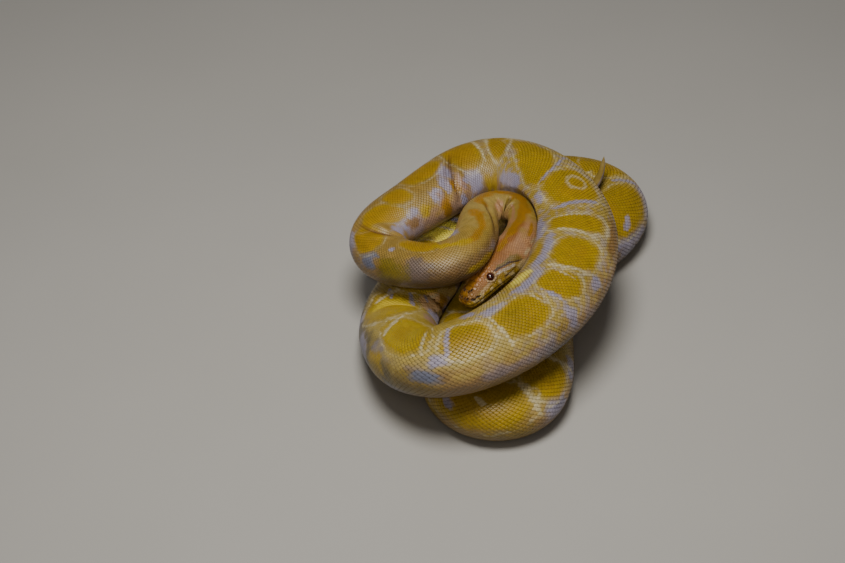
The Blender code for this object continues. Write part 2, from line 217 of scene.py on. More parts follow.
# Dorsal saddles: place along and around, half length, half span around, and how far one edge leads the other.
SADDLES = [
    (0.293, 0.13, 0.018, 0.14, 0), (0.3464, -0.16, 0.012, 0.16, 0), (0.3784, 0.01, 0.0125, 0.20, 0.009),
    (0.4044, -0.05, 0.009, 0.13, 0.002), (0.4424, -0.17, 0.018, 0.14, 0), (0.4865, -0.05, 0.0125, 0.21, 0),
    (0.5215, -0.06, 0.007, 0.17, 0), (0.5655, 0.04, 0.0205, 0.20, 0.018), (0.6216, -0.02, 0.0225, 0.20, 0),
    (0.6746, 0.00, 0.010, 0.20, 0), (0.7176, -0.06, 0.018, 0.16, 0), (0.7583, -0.10, 0.0125, 0.14, 0.003),
    (0.8098, -0.095, 0.021, 0.145, 0), (0.8578, -0.085, 0.0145, 0.135, 0),
    (0.9192, -0.045, 0.0285, 0.175, 0), (0.9955, -0.08, 0.025, 0.22, 0), (1.0950, -0.05, 0.010, 0.18, 0),
    (1.1680, -0.05, 0.014, 0.18, 0), (1.3099, -0.10, 0.013, 0.17, 0), (1.3860, -0.16, 0.024, 0.20, 0),
    (1.3280, -0.16, 0.014, 0.16, 0), (1.6418, -0.14, 0.013, 0.20, 0), (1.6978, -0.20, 0.030, 0.24, 0),
]
EYED_SADDLE = (0.6165, -0.010, 0.009)
SADDLE_OUTLINE = 1.26  # where the pale line round a saddle runs, in its half lengths
OUTLINE_HALF = 0.0017  # half the line's width
FAINT_OUTLINE = (0.362, 0.008)  # where the line fades, and over what length
# Patches on the sides: the same numbers, and their colour.
SIDE_PATCHES = [
    (0.2876, -0.37, 0.010, 0.20, 0, "dull"), (0.2560, -0.50, 0.014, 0.10, 0, "umber"),
    (0.3102, -0.38, 0.013, 0.14, 0, "olive"), (0.3318, -0.35, 0.0075, 0.12, 0, "steel"),
    (0.3624, 0.27, 0.0125, 0.09, 0, "pale"), (0.3924, 0.31, 0.018, 0.11, 0, "pale"),
    (0.4340, 0.24, 0.0060, 0.10, 0, "pale"), (0.4570, 0.05, 0.0068, 0.12, 0, "pale"),
    (0.4480, 0.20, 0.0040, 0.10, 0, "pale"), (0.4640, 0.26, 0.0042, 0.12, 0, "rosy"),
    (0.4585, 0.44, 0.0032, 0.07, 0, "pale"), (0.3980, 0.36, 0.0100, 0.07, 0, "brown"),
    (0.4805, 0.32, 0.0115, 0.15, 0, "blue"), (0.5555, 0.34, 0.022, 0.07, 0, "pale"),
    (0.6191, 0.275, 0.008, 0.05, 0, "pale"), (0.6746, 0.33, 0.017, 0.06, 0, "blue"),
    (0.7256, 0.20, 0.030, 0.05, 0, "blue"), (0.7723, 0.125, 0.026, 0.045, 0, "blue"),
    (0.8238, 0.11, 0.014, 0.05, 0, "pale"), (0.8775, -0.25, 0.0060, 0.05, 0, "blue"),
    (0.7351, -0.33, 0.0085, 0.05, 0, "blue"), (0.7734, -0.36, 0.005, 0.11, 0, "blue"),
    (1.0130, 0.31, 0.0060, 0.05, 0, "pale"), (0.4154, 0.31, 0.005, 0.07, 0, "gold"),
    (0.4369, 0.42, 0.0050, 0.16, 0, "amber"), (0.4560, 0.26, 0.0035, 0.08, 0, "amber"),
    (0.5085, 0.40, 0.017, 0.09, 0, "gold"), (0.7226, 0.30, 0.019, 0.055, 0, "gold"),
    # The lemon patch at 0.768 is a yellow marking, and the one at 1.127 is painted light in the hollow inside
    # the coils.
    (0.7682, 0.25, 0.0145, 0.065, 0, "bright"), (0.6766, -0.36, 0.020, 0.06, 0, "brown"),
    (1.046, 0.37, 0.0115, 0.10, 0, "amber"), (1.1270, -0.10, 0.016, 0.24, 0, "bright"),
    (1.1475, 0.03, 0.0035, 0.16, 0, "blue"), (0.8845, -0.385, 0.0085, 0.060, 0, "steel"),
    (0.9680, 0.31, 0.013, 0.08, 0, "rosy"), (1.0400, 0.54, 0.011, 0.10, 0, "rosy"),
    # Painted light: the peach patch at 1.032 lights the shaded corner where the coils meet.
    (1.0320, 0.28, 0.017, 0.10, 0, "peach"), (0.8470, 0.23, 0.0065, 0.05, 0, "blue"),
    (0.3165, -0.09, 0.0026, 0.034, 0, "pale"), (1.3850, -0.47, 0.008, 0.08, 0, "blue"),
    (1.3990, -0.40, 0.012, 0.10, 0, "brown"),
]
# Streaks of scales in one colour: the two ends, the half width and the colour.
STREAKS = [
    (((0.128, 0.10), (0.1096, -0.02)), 0.0085, "amber"),
    (((0.1096, -0.02), (0.0911, -0.06)), 0.0070, "amber"),
    (((0.0911, -0.06), (0.0759, -0.05)), 0.0052, "amber"),
    (((0.0759, -0.05), (0.0580, 0.03)), 0.0034, "amber"),
    (((0.130, -0.21), (0.0985, -0.26)), 0.0024, "rose"),
    (((0.0860, 0.32), (0.0980, 0.25)), 0.0028, "amber"),
    # Painted shade: the umber streak at 0.14 darkens the slit on the inside of the neck's bend.
    (((0.1385, -0.24), (0.1440, -0.50)), 0.0026, "umber"),
    (((0.2000, -0.40), (0.2200, -0.46)), 0.0030, "umber"),
    (((0.174, 0.13), (0.1513, 0.16)), 0.0078, "amber"), (((0.1513, 0.16), (0.1280, 0.10)), 0.0072, "amber"),
    (((0.172, 0.10), (0.180, -0.09)), 0.0056, "amber"), (((0.150, -0.26), (0.168, -0.34)), 0.0066, "rose"),
    (((0.1957, 0.13), (0.2065, -0.04)), 0.0066, "amber"),
    (((0.2065, -0.04), (0.2257, -0.10)), 0.0058, "amber"),
    (((0.2257, -0.10), (0.2434, -0.06)), 0.0050, "amber"),
    (((0.2434, -0.06), (0.2545, 0.03)), 0.0048, "gold"), (((0.2545, 0.03), (0.2750, 0.10)), 0.0046, "gold"),
    (((0.502, -0.22), (0.5045, 0.15)), 0.0016, "pale"), (((0.5125, -0.20), (0.5115, 0.05)), 0.0010, "pale"),
    (((0.531, -0.20), (0.5335, 0.10)), 0.0012, "pale"),
    (((0.5775, -0.22), (0.5995, 0.20)), 0.0020, "lavender"),
    (((0.6436, -0.20), (0.6486, 0.20)), 0.0024, "lavender"),
    (((0.6626, -0.12), (0.6646, 0.20)), 0.0012, "pale"),
    (((0.6916, -0.20), (0.6846, 0.15)), 0.0018, "pale"),
    (((0.7336, -0.20), (0.7436, 0.10)), 0.0019, "pale"),
    (((0.7461, -0.18), (0.7471, -0.02)), 0.0010, "pale"),
    (((0.7703, -0.24), (0.7755, -0.02)), 0.0020, "lavender"),
    (((0.7854, -0.13), (0.7875, 0.00)), 0.0011, "pale"),
    (((0.8308, -0.28), (0.8338, 0.06)), 0.0019, "pale"),
    (((0.8723, -0.22), (0.8693, 0.08)), 0.0023, "lavender"),
    (((0.8868, -0.20), (0.8898, 0.05)), 0.0015, "pale"),
    # Painted light: the yellow streak at 1.003 to 1.013 lights the flank in the shade of the loop above.
    (((1.0030, -0.20), (1.0130, 0.06)), 0.0110, "sunny"),
    (((1.0300, -0.13), (1.0190, -0.08)), 0.0022, "lavender"),
    (((1.0290, 0.07), (1.0110, 0.13)), 0.0028, "lavender"),
    (((1.0350, 0.20), (1.0290, 0.24)), 0.0022, "lavender"),
    (((0.9371, -0.20), (0.960, 0.03)), 0.0028, "pale"), (((1.0157, -0.23), (1.031, -0.04)), 0.0026, "pale"),
    (((1.1301, -0.24), (1.1321, 0.14)), 0.0016, "pale"),
    (((1.2872, -0.24), (1.2912, 0.10)), 0.0018, "pale"),
    (((1.3880, -0.25), (1.3960, -0.31)), 0.0040, "lavender"),
    (((1.3510, -0.30), (1.3500, -0.05)), 0.0020, "lavender"),
    (((1.6228, -0.42), (1.6238, 0.12)), 0.0018, "pale"),
    (((1.7110, -0.33), (1.7160, -0.27)), 0.0045, "lavender"),
    (((1.6920, -0.19), (1.6970, -0.14)), 0.0035, "pale"),
    (((1.6613, -0.42), (1.6628, 0.05)), 0.0015, "pale"),
    (((1.6448, -0.26), (1.6448, -0.255)), 0.0012, "dark"),
    (((1.6508, -0.24), (1.6508, -0.235)), 0.0010, "dark"),
]
STREAK_COLOURS = {
    "pale": PALE, "lavender": LAVENDER, "gold": GOLD, "olive": OLIVE_GOLD, "rose": ROSE, "amber": AMBER,
    "dark": SPECK, "umber": UMBER_AND_PAINTED_SHADE, "sunny": YELLOW_STREAK_AND_PAINTED_LIGHT,
}
HIDDEN_FROM = 1.037
HIDDEN_TO = 1.9659
MARKING_SEED = 7
SIDES_FROM = 0.20  # where the chance patches on the sides begin and end
SIDES_TO = 1.97
THIN_FROM = 1.75  # from here the markings shrink with the tail
HIDDEN_LEFT = ((0.2241, 0.2581), (0.3464, 0.6466), (0.8988, 2.0359))
HIDDEN_RIGHT = ((0.2241, 0.3564), (0.6266, 0.6566), (0.788, 2.0359))
# Stripes on each side of the head: the two ends, half the width at each end round the head, and the colour.
HEAD_STRIPES = [
    (((0.0160, 0.430), (0.0280, 0.415)), (0.040, 0.045), EYE_RING),
    (((0.0430, 0.470), (0.0560, 0.480)), (0.010, 0.011), STRIPE),
    # The cheek bar: a pale marking with painted highlight.
    (((0.0385, 0.352), (0.0560, 0.436)), (0.026, 0.024), CHEEK_AND_PAINTED_HIGHLIGHT),
    (((0.0430, 0.276), (0.0640, 0.365)), (0.016, 0.092), STRIPE_GOLD),
    (((0.0385, 0.297), (0.0540, 0.362)), (0.020, 0.017), STRIPE),
    (((0.0540, 0.362), (0.0635, 0.460)), (0.014, 0.010), STRIPE),
    (((0.0265, 0.385), (0.0340, 0.400)), (0.009, 0.009), STRIPE),
]
EYE_SPOT = (0.033, 0.315)
HEAD_ARC = 0.047  # about half the head's girth at the eye

# ================================================================ pieces
FLESH = (
    "head", "lower_jaw", "neck", *(f"trunk_{number:02d}" for number in range(1, 13)), "tail_base", "tail_tip",
)
STRIPS = 3
SKIN_ROWS = 600
SKIN_COLUMNS = 80
HEAD_FINE_TO = 0.094
NECK_FINE_TO = 0.250
CREASE_REACH = 2.4  # of the finer skin beside a crease, in its widths
SKIN_BETWEEN = 0.70  # how dark the skin between the scales is, against the scales
SCALES_FROM = 0.078
SCALES_TO_TIP = 0.0035
SCALE_PIECES = 8
SCALE_SEED = 3
OWN_TINT = 0.45  # how far a scale keeps one colour all over
BACK_RIM = 0.50  # how faint the rims are along the back
SCALE_SHAPE = 1.35  # 1 is a rhomb, 2 an oval
SCALE_LENGTH = 1.25
SCALE_WIDTH = 1.80
SCALE_DOME = 0.00015
ROOT_DEPTH = -0.00015
TIP_LIFT = 0.00042
PATCH = 0.003
BELLY_PITCH = 2.4
BELLY_DOME = 0.00020
BELLY_THICKNESS = 0.00035
THROAT_TO = 0.082
VENT = 1.8258
EYE_OPENING = 0.0038
EYE_LIFT = 0.80  # how far the eye looks up, against how far it looks out
EYE_RING_PLATES = 11
EYE_RING_REACH = 0.0053
# Large plates on the snout and crown, for one side: place along and around, and size.
CROWN_PLATES = [
    (0.0002, 0.0, 0.0016), (0.0018, 1.0, 0.0014), (0.0030, 0.11, 0.0017), (0.0070, 0.055, 0.0022),
    (0.0086, 0.225, 0.0018), (0.0146, 0.195, 0.0018), (0.0126, 0.055, 0.0024), (0.0178, 0.065, 0.0028),
    (0.0190, 0.165, 0.0019), (0.0236, 0.060, 0.0026), (0.0240, 0.155, 0.0020), (0.0300, 0.100, 0.0030),
    (0.0316, 0.0, 0.0026), (0.0372, 0.050, 0.0022), (0.0385, 0.120, 0.0020),
]
UPPER_LIPS = (
    0.0012, 0.0046, 0.0084, 0.0124, 0.0166, 0.0210, 0.0256, 0.0302, 0.0350, 0.0400, 0.0452, 0.0506, 0.0560,
)
LOWER_LIPS = tuple(0.0014 + 0.0036 * number for number in range(16))
LIP_PLATE_RISE = 0.0017
HEAD_SCALE_SHARE = 0.80
PLATE_CORNERS = 12
PLATE_GAP = 0.00018
PLATE_ROOT = -0.00012
PLATE_DOME = 0.20
PLATE_RINGS = ((1.0, 0.0), (0.93, 0.50), (0.62, 0.88))  # share of the outline, share of the dome
RIM_SHADE = 0.34
RIM_TINT = (0.62, 0.46, 0.30)

# ================================================================ the view and the light
CAMERA_PLACE = (-0.0795, -1.4483, 1.3412)
CAMERA_TILT = 48
LENS = 85  # millimetres
SENSOR = 36  # millimetres wide
FLOOR_SIZE = 8
AMBIENT = 0.06
SKY = (0.95, 0.93, 0.95, 1)
LIGHTS = [
    ("key", (-0.12, -0.38, 1.37), (0, 0, 0.05), 0.55, 15.5, (1.0, 0.96, 0.88)),
    ("fill", (-0.12, -1.5, 1.5), (0, 0, 0.05), 0.8, 2.0, (1.0, 0.96, 0.90)),
]
SPOT = ((-0.12, -1.30, 1.35), (-0.060, 0.045, 0.055), math.radians(5.0), 50)  # place, aim, cone and watts


def hermite(stations, at):
    """A smooth curve through the stations, whose first column rises, read at the given places."""
    table = np.array(stations, float)
    x, y = table[:, 0], table[:, 1:]
    chords = np.diff(y, axis=0) / np.diff(x)[:, None]
    slopes = np.vstack([chords[:1], chords[-1:]]).repeat([1, len(x) - 1], axis=0)
    before, after = np.diff(x)[:-1, None], np.diff(x)[1:, None]
    slopes[1:-1] = (chords[:-1] * after + chords[1:] * before) / (before + after)
    at = np.clip(at, x[0], x[-1])
    i = np.clip(np.searchsorted(x, at, side="right") - 1, 0, len(x) - 2)
    step = (x[i + 1] - x[i])[:, None]
    u = ((at - x[i]) / (x[i + 1] - x[i]))[:, None]
    rise = u * u * (3 - 2 * u)
    ease_out, ease_in = u * (1 - u) ** 2, u * u * (u - 1)
    return y[i] * (1 - rise) + y[i + 1] * rise + step * (slopes[i] * ease_out + slopes[i + 1] * ease_in)


def smoothstep(low, high, value):
    share = np.clip((value - low) / (high - low), 0, 1)
    return share * share * (3 - 2 * share)


def unit(vectors):
    return vectors / np.maximum(np.linalg.norm(vectors, axis=-1, keepdims=True), 1e-12)


def arc_lengths(points):
    return np.concatenate([[0], np.cumsum(np.linalg.norm(np.diff(points, axis=0), axis=1))])


def spaced(points):
    """The same line with a point every SAMPLE, and each point's distance from the start."""
    along = arc_lengths(points)
    places = np.linspace(0, along[-1], int(along[-1] / SAMPLE) + 1)
    return np.stack([np.interp(places, along, points[:, k]) for k in range(3)], axis=1), places


class Body:
    """The python's surface, as a function of the place along and around it."""

    def __init__(self):
        route = np.array(ROUTE) - MIDDLE
        knots = np.concatenate([[0], np.cumsum(np.linalg.norm(np.diff(route, axis=0), axis=1) ** 0.75)])
        fine = hermite(np.column_stack([knots, route]), np.linspace(0, knots[-1], 25 * len(route)))
        line = self.lie(*spaced(fine))
        for _ in range(SMOOTH_PASSES):
            line[1:-1] = (line[:-2] + 2 * line[1:-1] + line[2:]) / 4
        line, self.along = spaced(line)
        self.line = self.lie(line, self.along)
        self.length = self.along[-1]
        self.firm = self.half + FIRMNESS * (THICKEST - self.half)
        self.tangent = unit(np.gradient(self.line, axis=0))
        self.bend = np.gradient(self.tangent, self.along, axis=0)
        self.measure_girth()
        self.count_rows()
        self.press()
        self.near_tip = 0.10 * np.linspace(0, 1, 400) ** 2
        outline = np.column_stack([self.near_tip, self.head(HEAD_HALF_WIDTH, self.near_tip)])
        self.from_tip = arc_lengths(outline)
        self.hollows = []

    def lie(self, line, along):
        """Lifts the line to where the belly just meets the floor, wherever it is lower."""
        self.half = hermite(GIRTH, along / along[-1])[:, 0] / 2
        resting = self.half * HEIGHT_SHARE - FLOOR_FLAT
        return np.column_stack([line[:, :2], np.maximum(line[:, 2], resting)])

    def measure_girth(self):
        """Tabulates the angle from the top of the section against the share of the way round to the belly."""
        angle = np.linspace(0, math.pi, 400)
        outline = np.column_stack([np.sin(angle), HEIGHT_SHARE * np.cos(angle)])
        way = np.concatenate([[0], np.cumsum(np.linalg.norm(np.diff(outline, axis=0), axis=1))])
        self.angle, self.way_round = angle, way / way[-1]
        self.half_girth = way[-1]  # from back to belly, for a half width of 1

    def read(self, values, along):
        return np.stack([np.interp(along, self.along, column) for column in values.T], axis=-1)

    def head(self, table, along):
        return hermite(table, np.clip(along, 0, HEAD_TABLES_END).ravel())[:, 0].reshape(np.shape(along))

    def section(self, along, around):
        """How far to the side of the spine and over it the surface lies, before it bends or is pressed."""
        angle = np.interp(np.abs(around), self.way_round, self.angle)
        in_head = smoothstep(0.094, 0.076, along)
        power = 2 / (2 + (HEAD_SQUARENESS - 2) * in_head)
        across = np.sign(around) * np.sin(angle) ** power
        rise = np.sign(np.cos(angle)) * np.abs(np.cos(angle)) ** power
        across = across * (1 - CROWN_TAPER * in_head * np.clip(rise, 0, 1) ** 1.5)
        half = np.interp(along, self.along, self.half)
        round_tip = np.sqrt(np.clip((self.length - along) / TIP_ROUND, 1e-4, 1))
        half = half * np.where(along > self.length - TIP_ROUND, round_tip, 1)
        above = half * HEIGHT_SHARE * (1 - in_head) + in_head * self.head(HEAD_ABOVE, along)
        below = half * HEIGHT_SHARE * (1 - in_head) + in_head * self.head(HEAD_BELOW, along)
        wide = half * (1 - in_head) + in_head * self.head(HEAD_HALF_WIDTH, along)
        return across * wide, rise * np.where(rise > 0, above, below)

    def axes(self, along):
        """The spine's own sideways and upward directions, which the head turns with it as it leans."""
        tangent = unit(self.read(self.tangent, along))
        side = unit(np.cross(tangent, (0, 0, 1)))
        up = np.cross(side, tangent)
        lean = (HEAD_LEAN * smoothstep(LEAN_END, HEAD_LENGTH, along))[..., None]
        return side * np.cos(lean) + up * np.sin(lean), up * np.cos(lean) - side * np.sin(lean)

    def free(self, along, around):
        """Centres, and the offsets from them to the surface before any coil presses on another."""
        side, up = self.axes(along)
        across, height = self.section(along, around)
        offset = across[..., None] * side + height[..., None] * up
        inward = (offset * self.read(self.bend, along)).sum(axis=-1)
        offset = offset / np.maximum(inward / BEND_LIMIT, 1)[..., None]
        size = np.linalg.norm(offset, axis=-1, keepdims=True)
        coat = np.minimum(COAT_DEPTH, 0.5 * size)
        return self.read(self.line, along), offset * (1 - coat / np.maximum(size, 1e-9))

    def press(self):
        """Tabulates how far each place is pressed in by the coils that touch it, as a share of its offset."""
        self.ring_at = np.linspace(0, self.length, 1 + round(self.length / 0.0025))
        self.turn_at = np.linspace(-1, 1, 97)
        stretch = np.array([1, 1, 1 / HEIGHT_SHARE])
        others = self.line * stretch
        head = self.along < HEAD_LENGTH
        along, around = np.meshgrid(self.ring_at, self.turn_at, indexing="ij")
        centres, offsets = self.free(along, around)
        halves = np.interp(self.ring_at, self.along, self.half)
        firms = np.interp(self.ring_at, self.along, self.firm)
        self.share = np.ones(along.shape)
        for k, place in enumerate(self.ring_at):
            if place < HEAD_LENGTH:
                continue
            centre = centres[k, 0] * stretch
            reach = np.linalg.norm(others - centre, axis=1) < halves[k] + self.firm + 0.012
            near = reach & (np.abs(self.along - place) > NEIGHBOUR * (halves[k] + self.half))
            if near.any():
                own = np.linalg.norm(offsets[k] * stretch, axis=1)
                self.share[k] = self.ring_shares(
                    centre, offsets[k] * stretch, own, firms[k], others[near],
                    np.where(head[near], self.half[near] + 0.0008, -1), self.firm[near])

    @staticmethod
    def ring_shares(centre, offset, own, firm, others, hard, firms):
        """For one ring, the largest share of each offset that keeps clear of the other coils."""
        low, high = np.zeros(len(offset)), np.ones(len(offset))

        def clear(share):
            distance = np.linalg.norm((centre + share[:, None] * offset)[:, None] - others, axis=2)
            soft = distance - firms >= (share * own - firm)[:, None] + 2 * SKIN_GAP
            return np.where(hard > 0, distance >= hard, soft).all(axis=1)

        whole = clear(high)
        for _ in range(12):
            middle = (low + high) / 2
            ok = clear(middle)
            low, high = np.where(ok, middle, low), np.where(ok, high, middle)
        return np.where(whole, 1, low)

    def share_of(self, along, around):
        """The tabulated share, read between its places."""
        x = np.clip(along / self.length, 0, 1) * (len(self.ring_at) - 1)
        y = (np.clip(around, -1, 1) + 1) / 2 * (len(self.turn_at) - 1)
        i = np.minimum(x.astype(int), len(self.ring_at) - 2)
        j = np.minimum(y.astype(int), len(self.turn_at) - 2)
        u, v = x - i, y - j
        near = self.share[i, j] * (1 - v) + self.share[i, j + 1] * v
        far = self.share[i + 1, j] * (1 - v) + self.share[i + 1, j + 1] * v
        return near * (1 - u) + far * u

    def surface(self, along, around):
        """Points of the skin at these places."""
        along, around = np.asarray(along, float), np.asarray(around, float)
        around = (around + 1) % 2 - 1
        along = np.clip(along, 0, self.length)
        centre, offset = self.free(along, around)
        point = centre + self.share_of(along, around)[..., None] * offset
        point[..., 2] = np.maximum(point[..., 2], FLOOR_LIFT)
        return point

    def measures(self, along):
        """Half the girth, from mid back to mid belly, and the width of a row of scales."""
        in_head = smoothstep(0.094, 0.076, along)
        wide = np.interp(along, self.along, self.half)
        head = (self.head(HEAD_HALF_WIDTH, along) + self.head(HEAD_ABOVE, along)) * HEAD_GIRTH_FACTOR
        row = ROW_WIDTH * np.maximum(wide / THICKEST, THINNEST_SHARE) ** ROW_POWER
        return self.half_girth * wide * (1 - in_head) + head * in_head, row

    def count_rows(self):
        """Tabulates how many scales lie between the snout's tip and each place on the spine."""
        _, row = self.measures(self.along)
        steps = np.diff(self.along) / (SCALE_PITCH * (row[1:] + row[:-1]) / 2)
        self.rows = np.concatenate([[0], np.cumsum(steps)])

    def normal(self, along, around):
        """The unit direction out of the skin."""
        step, turn = 0.0004, 0.004
        ahead = self.surface(along + step, around) - self.surface(along - step, around)
        over = self.surface(along, around + turn) - self.surface(along, around - turn)
        return unit(np.cross(over, ahead))

    def skin(self, along, around, lift=0.0):
        """Points on the finished skin, with its folds, lips and pits, or so far above it."""
        along, around = np.broadcast_arrays(np.clip(along, 0, self.length), np.asarray(around, float))
        around = (around + 1) % 2 - 1
        rise = relief(self, along, around) + lift
        point = self.surface(along, around) + self.normal(along, around) * rise[..., None]
        point[..., 2] = np.maximum(point[..., 2], SKIN_FLOOR)
        return point


def noise(x, y, seed):
    """Smooth lumps one unit across, from 0 to 1, the same each run."""
    table = np.random.default_rng(seed).random((97, 97))
    i, j = np.floor(x).astype(int), np.floor(y).astype(int)
    u, v = x - i, y - j
    u, v = u * u * (3 - 2 * u), v * v * (3 - 2 * v)
    near = table[i % 97, j % 97] * (1 - v) + table[i % 97, (j + 1) % 97] * v
    far = table[(i + 1) % 97, j % 97] * (1 - v) + table[(i + 1) % 97, (j + 1) % 97] * v
    return near * (1 - u) + far * u


def path_distance(along, around, girth, path):
    """Each place's distance over the skin from a path of straight strokes, and the share of the way down."""
    best, way = stroke_distance(along, around, girth, path[:2])
    for number, stroke in enumerate(zip(path[1:], path[2:]), 1):
        distance, share = stroke_distance(along, around, girth, stroke)
        way = np.where(distance < best, number + share, way)
        best = np.minimum(best, distance)
    return best, way / (len(path) - 1)


def stroke_distance(along, around, girth, stroke):
    """How far each place is, over the skin, from a straight stroke, and the share of the way down it."""
    (from_along, from_around), (to_along, to_around) = stroke
    across, down = (around - from_around) * girth, along - from_along
    run, turn = to_along - from_along, (to_around - from_around) * girth
    share = np.clip((down * run + across * turn) / (run * run + turn * turn + 1e-12), 0, 1)
    return np.hypot(down - share * run, across - share * turn), share


# ================================================================ relief of the skin
def relief(body, along, around):
    """How far the skin stands out of the plain section: folds, lips, nostrils and heat pits."""
    girth, _ = body.measures(along)
    rise = np.zeros(np.shape(along))
    for path, depth, width in CREASES:
        distance, share = path_distance(along, around, girth, path)
        fade = np.sin(np.pi * np.clip(0.12 + 0.76 * share, 0, 1)) ** 0.7
        rise += fade * depth * (0.45 * np.exp(-((distance - 1.9 * width) / width) ** 2)
                                - np.exp(-(distance / width) ** 2))
    head = along < HEAD_TABLES_END
    if not head.any():
        return rise
    near, turn = along[head], around[head]
    _, height = body.section(near, turn)
    lip = height - np.interp(near, *np.transpose(MOUTH_LINE))
    closed = smoothstep(MOUTH_END + 0.003, MOUTH_END - 0.004, near)
    groove = -MOUTH_DEPTH * np.exp(-(lip / 0.00042) ** 2)
    lips = LIP_SWELL * (np.exp(-((lip - 0.0017) / 0.0013) ** 2)
                        + 0.7 * np.exp(-((lip + 0.0017) / 0.0013) ** 2))
    face = closed * (groove + lips)
    place = head_plane(body, near, np.abs(turn))
    for spot, depth, size in hollows(body):
        away = np.hypot(place[0] - spot[0], place[1] - spot[1])
        face = face - depth * smoothstep(1.35 * size, 0.55 * size, away)
        face = (face + 0.25 * depth * np.exp(-((away - 1.7 * size) / (0.6 * size)) ** 2)
                * (depth < NOSTRIL_DEPTH * 2))
    brow = np.exp(-((near - 0.022) / 0.016) ** 2) * np.exp(-((np.abs(turn) - 0.135) / 0.03) ** 2)
    jaw = np.exp(-((near - 0.063) / 0.011) ** 2) * np.exp(-((np.abs(turn) - 0.34) / 0.11) ** 2)
    rise[head] += face + BROW_SWELL * brow + JAW_SWELL * jaw
    return rise


def head_plane(body, along, around):
    """The head's surface laid out flat about the snout's tip."""
    out = np.interp(along, body.near_tip, body.from_tip)
    return out * np.sin(np.pi * around), out * np.cos(np.pi * around)


def mouth_around(body, along):
    """Where the mouth line runs, as a place around."""
    turns = np.linspace(0.02, 1, 200)
    heights = body.section(np.full(turns.shape, along), turns)[1]
    return np.interp(-np.interp(along, *np.transpose(MOUTH_LINE)), -heights, turns)


def hollows(body):
    """The left nostril and heat pits on the head's flat layout, with their depths and sizes."""
    if not body.hollows:
        for spot in NOSTRILS:
            body.hollows.append((head_plane(body, *spot), NOSTRIL_DEPTH, NOSTRIL_SIZE))
        for pit in LABIAL_PITS:
            body.hollows.append((head_plane(body, *pit), PIT_DEPTH, PIT_SIZE))
    return body.hollows


# ================================================================ markings
def blotch(along, around, patch, roughness):
    """How deep each place lies in a round patch: 0 in the middle, 1 at its rim, with an uneven outline."""
    middle, turn, half_long, half_round, slant = patch
    lean = middle + slant * (around - turn) / half_round
    away = (np.abs((along - lean) / half_long) ** 2.5 + np.abs((around - turn) / half_round) ** 2.5) ** 0.4
    return away + roughness


def layer(colours, colour, amount):
    """The colours with another laid over them by an amount from 0 to 1."""
    return colours + (np.array(colour) - colours) * np.clip(amount, 0, 1)[..., None]


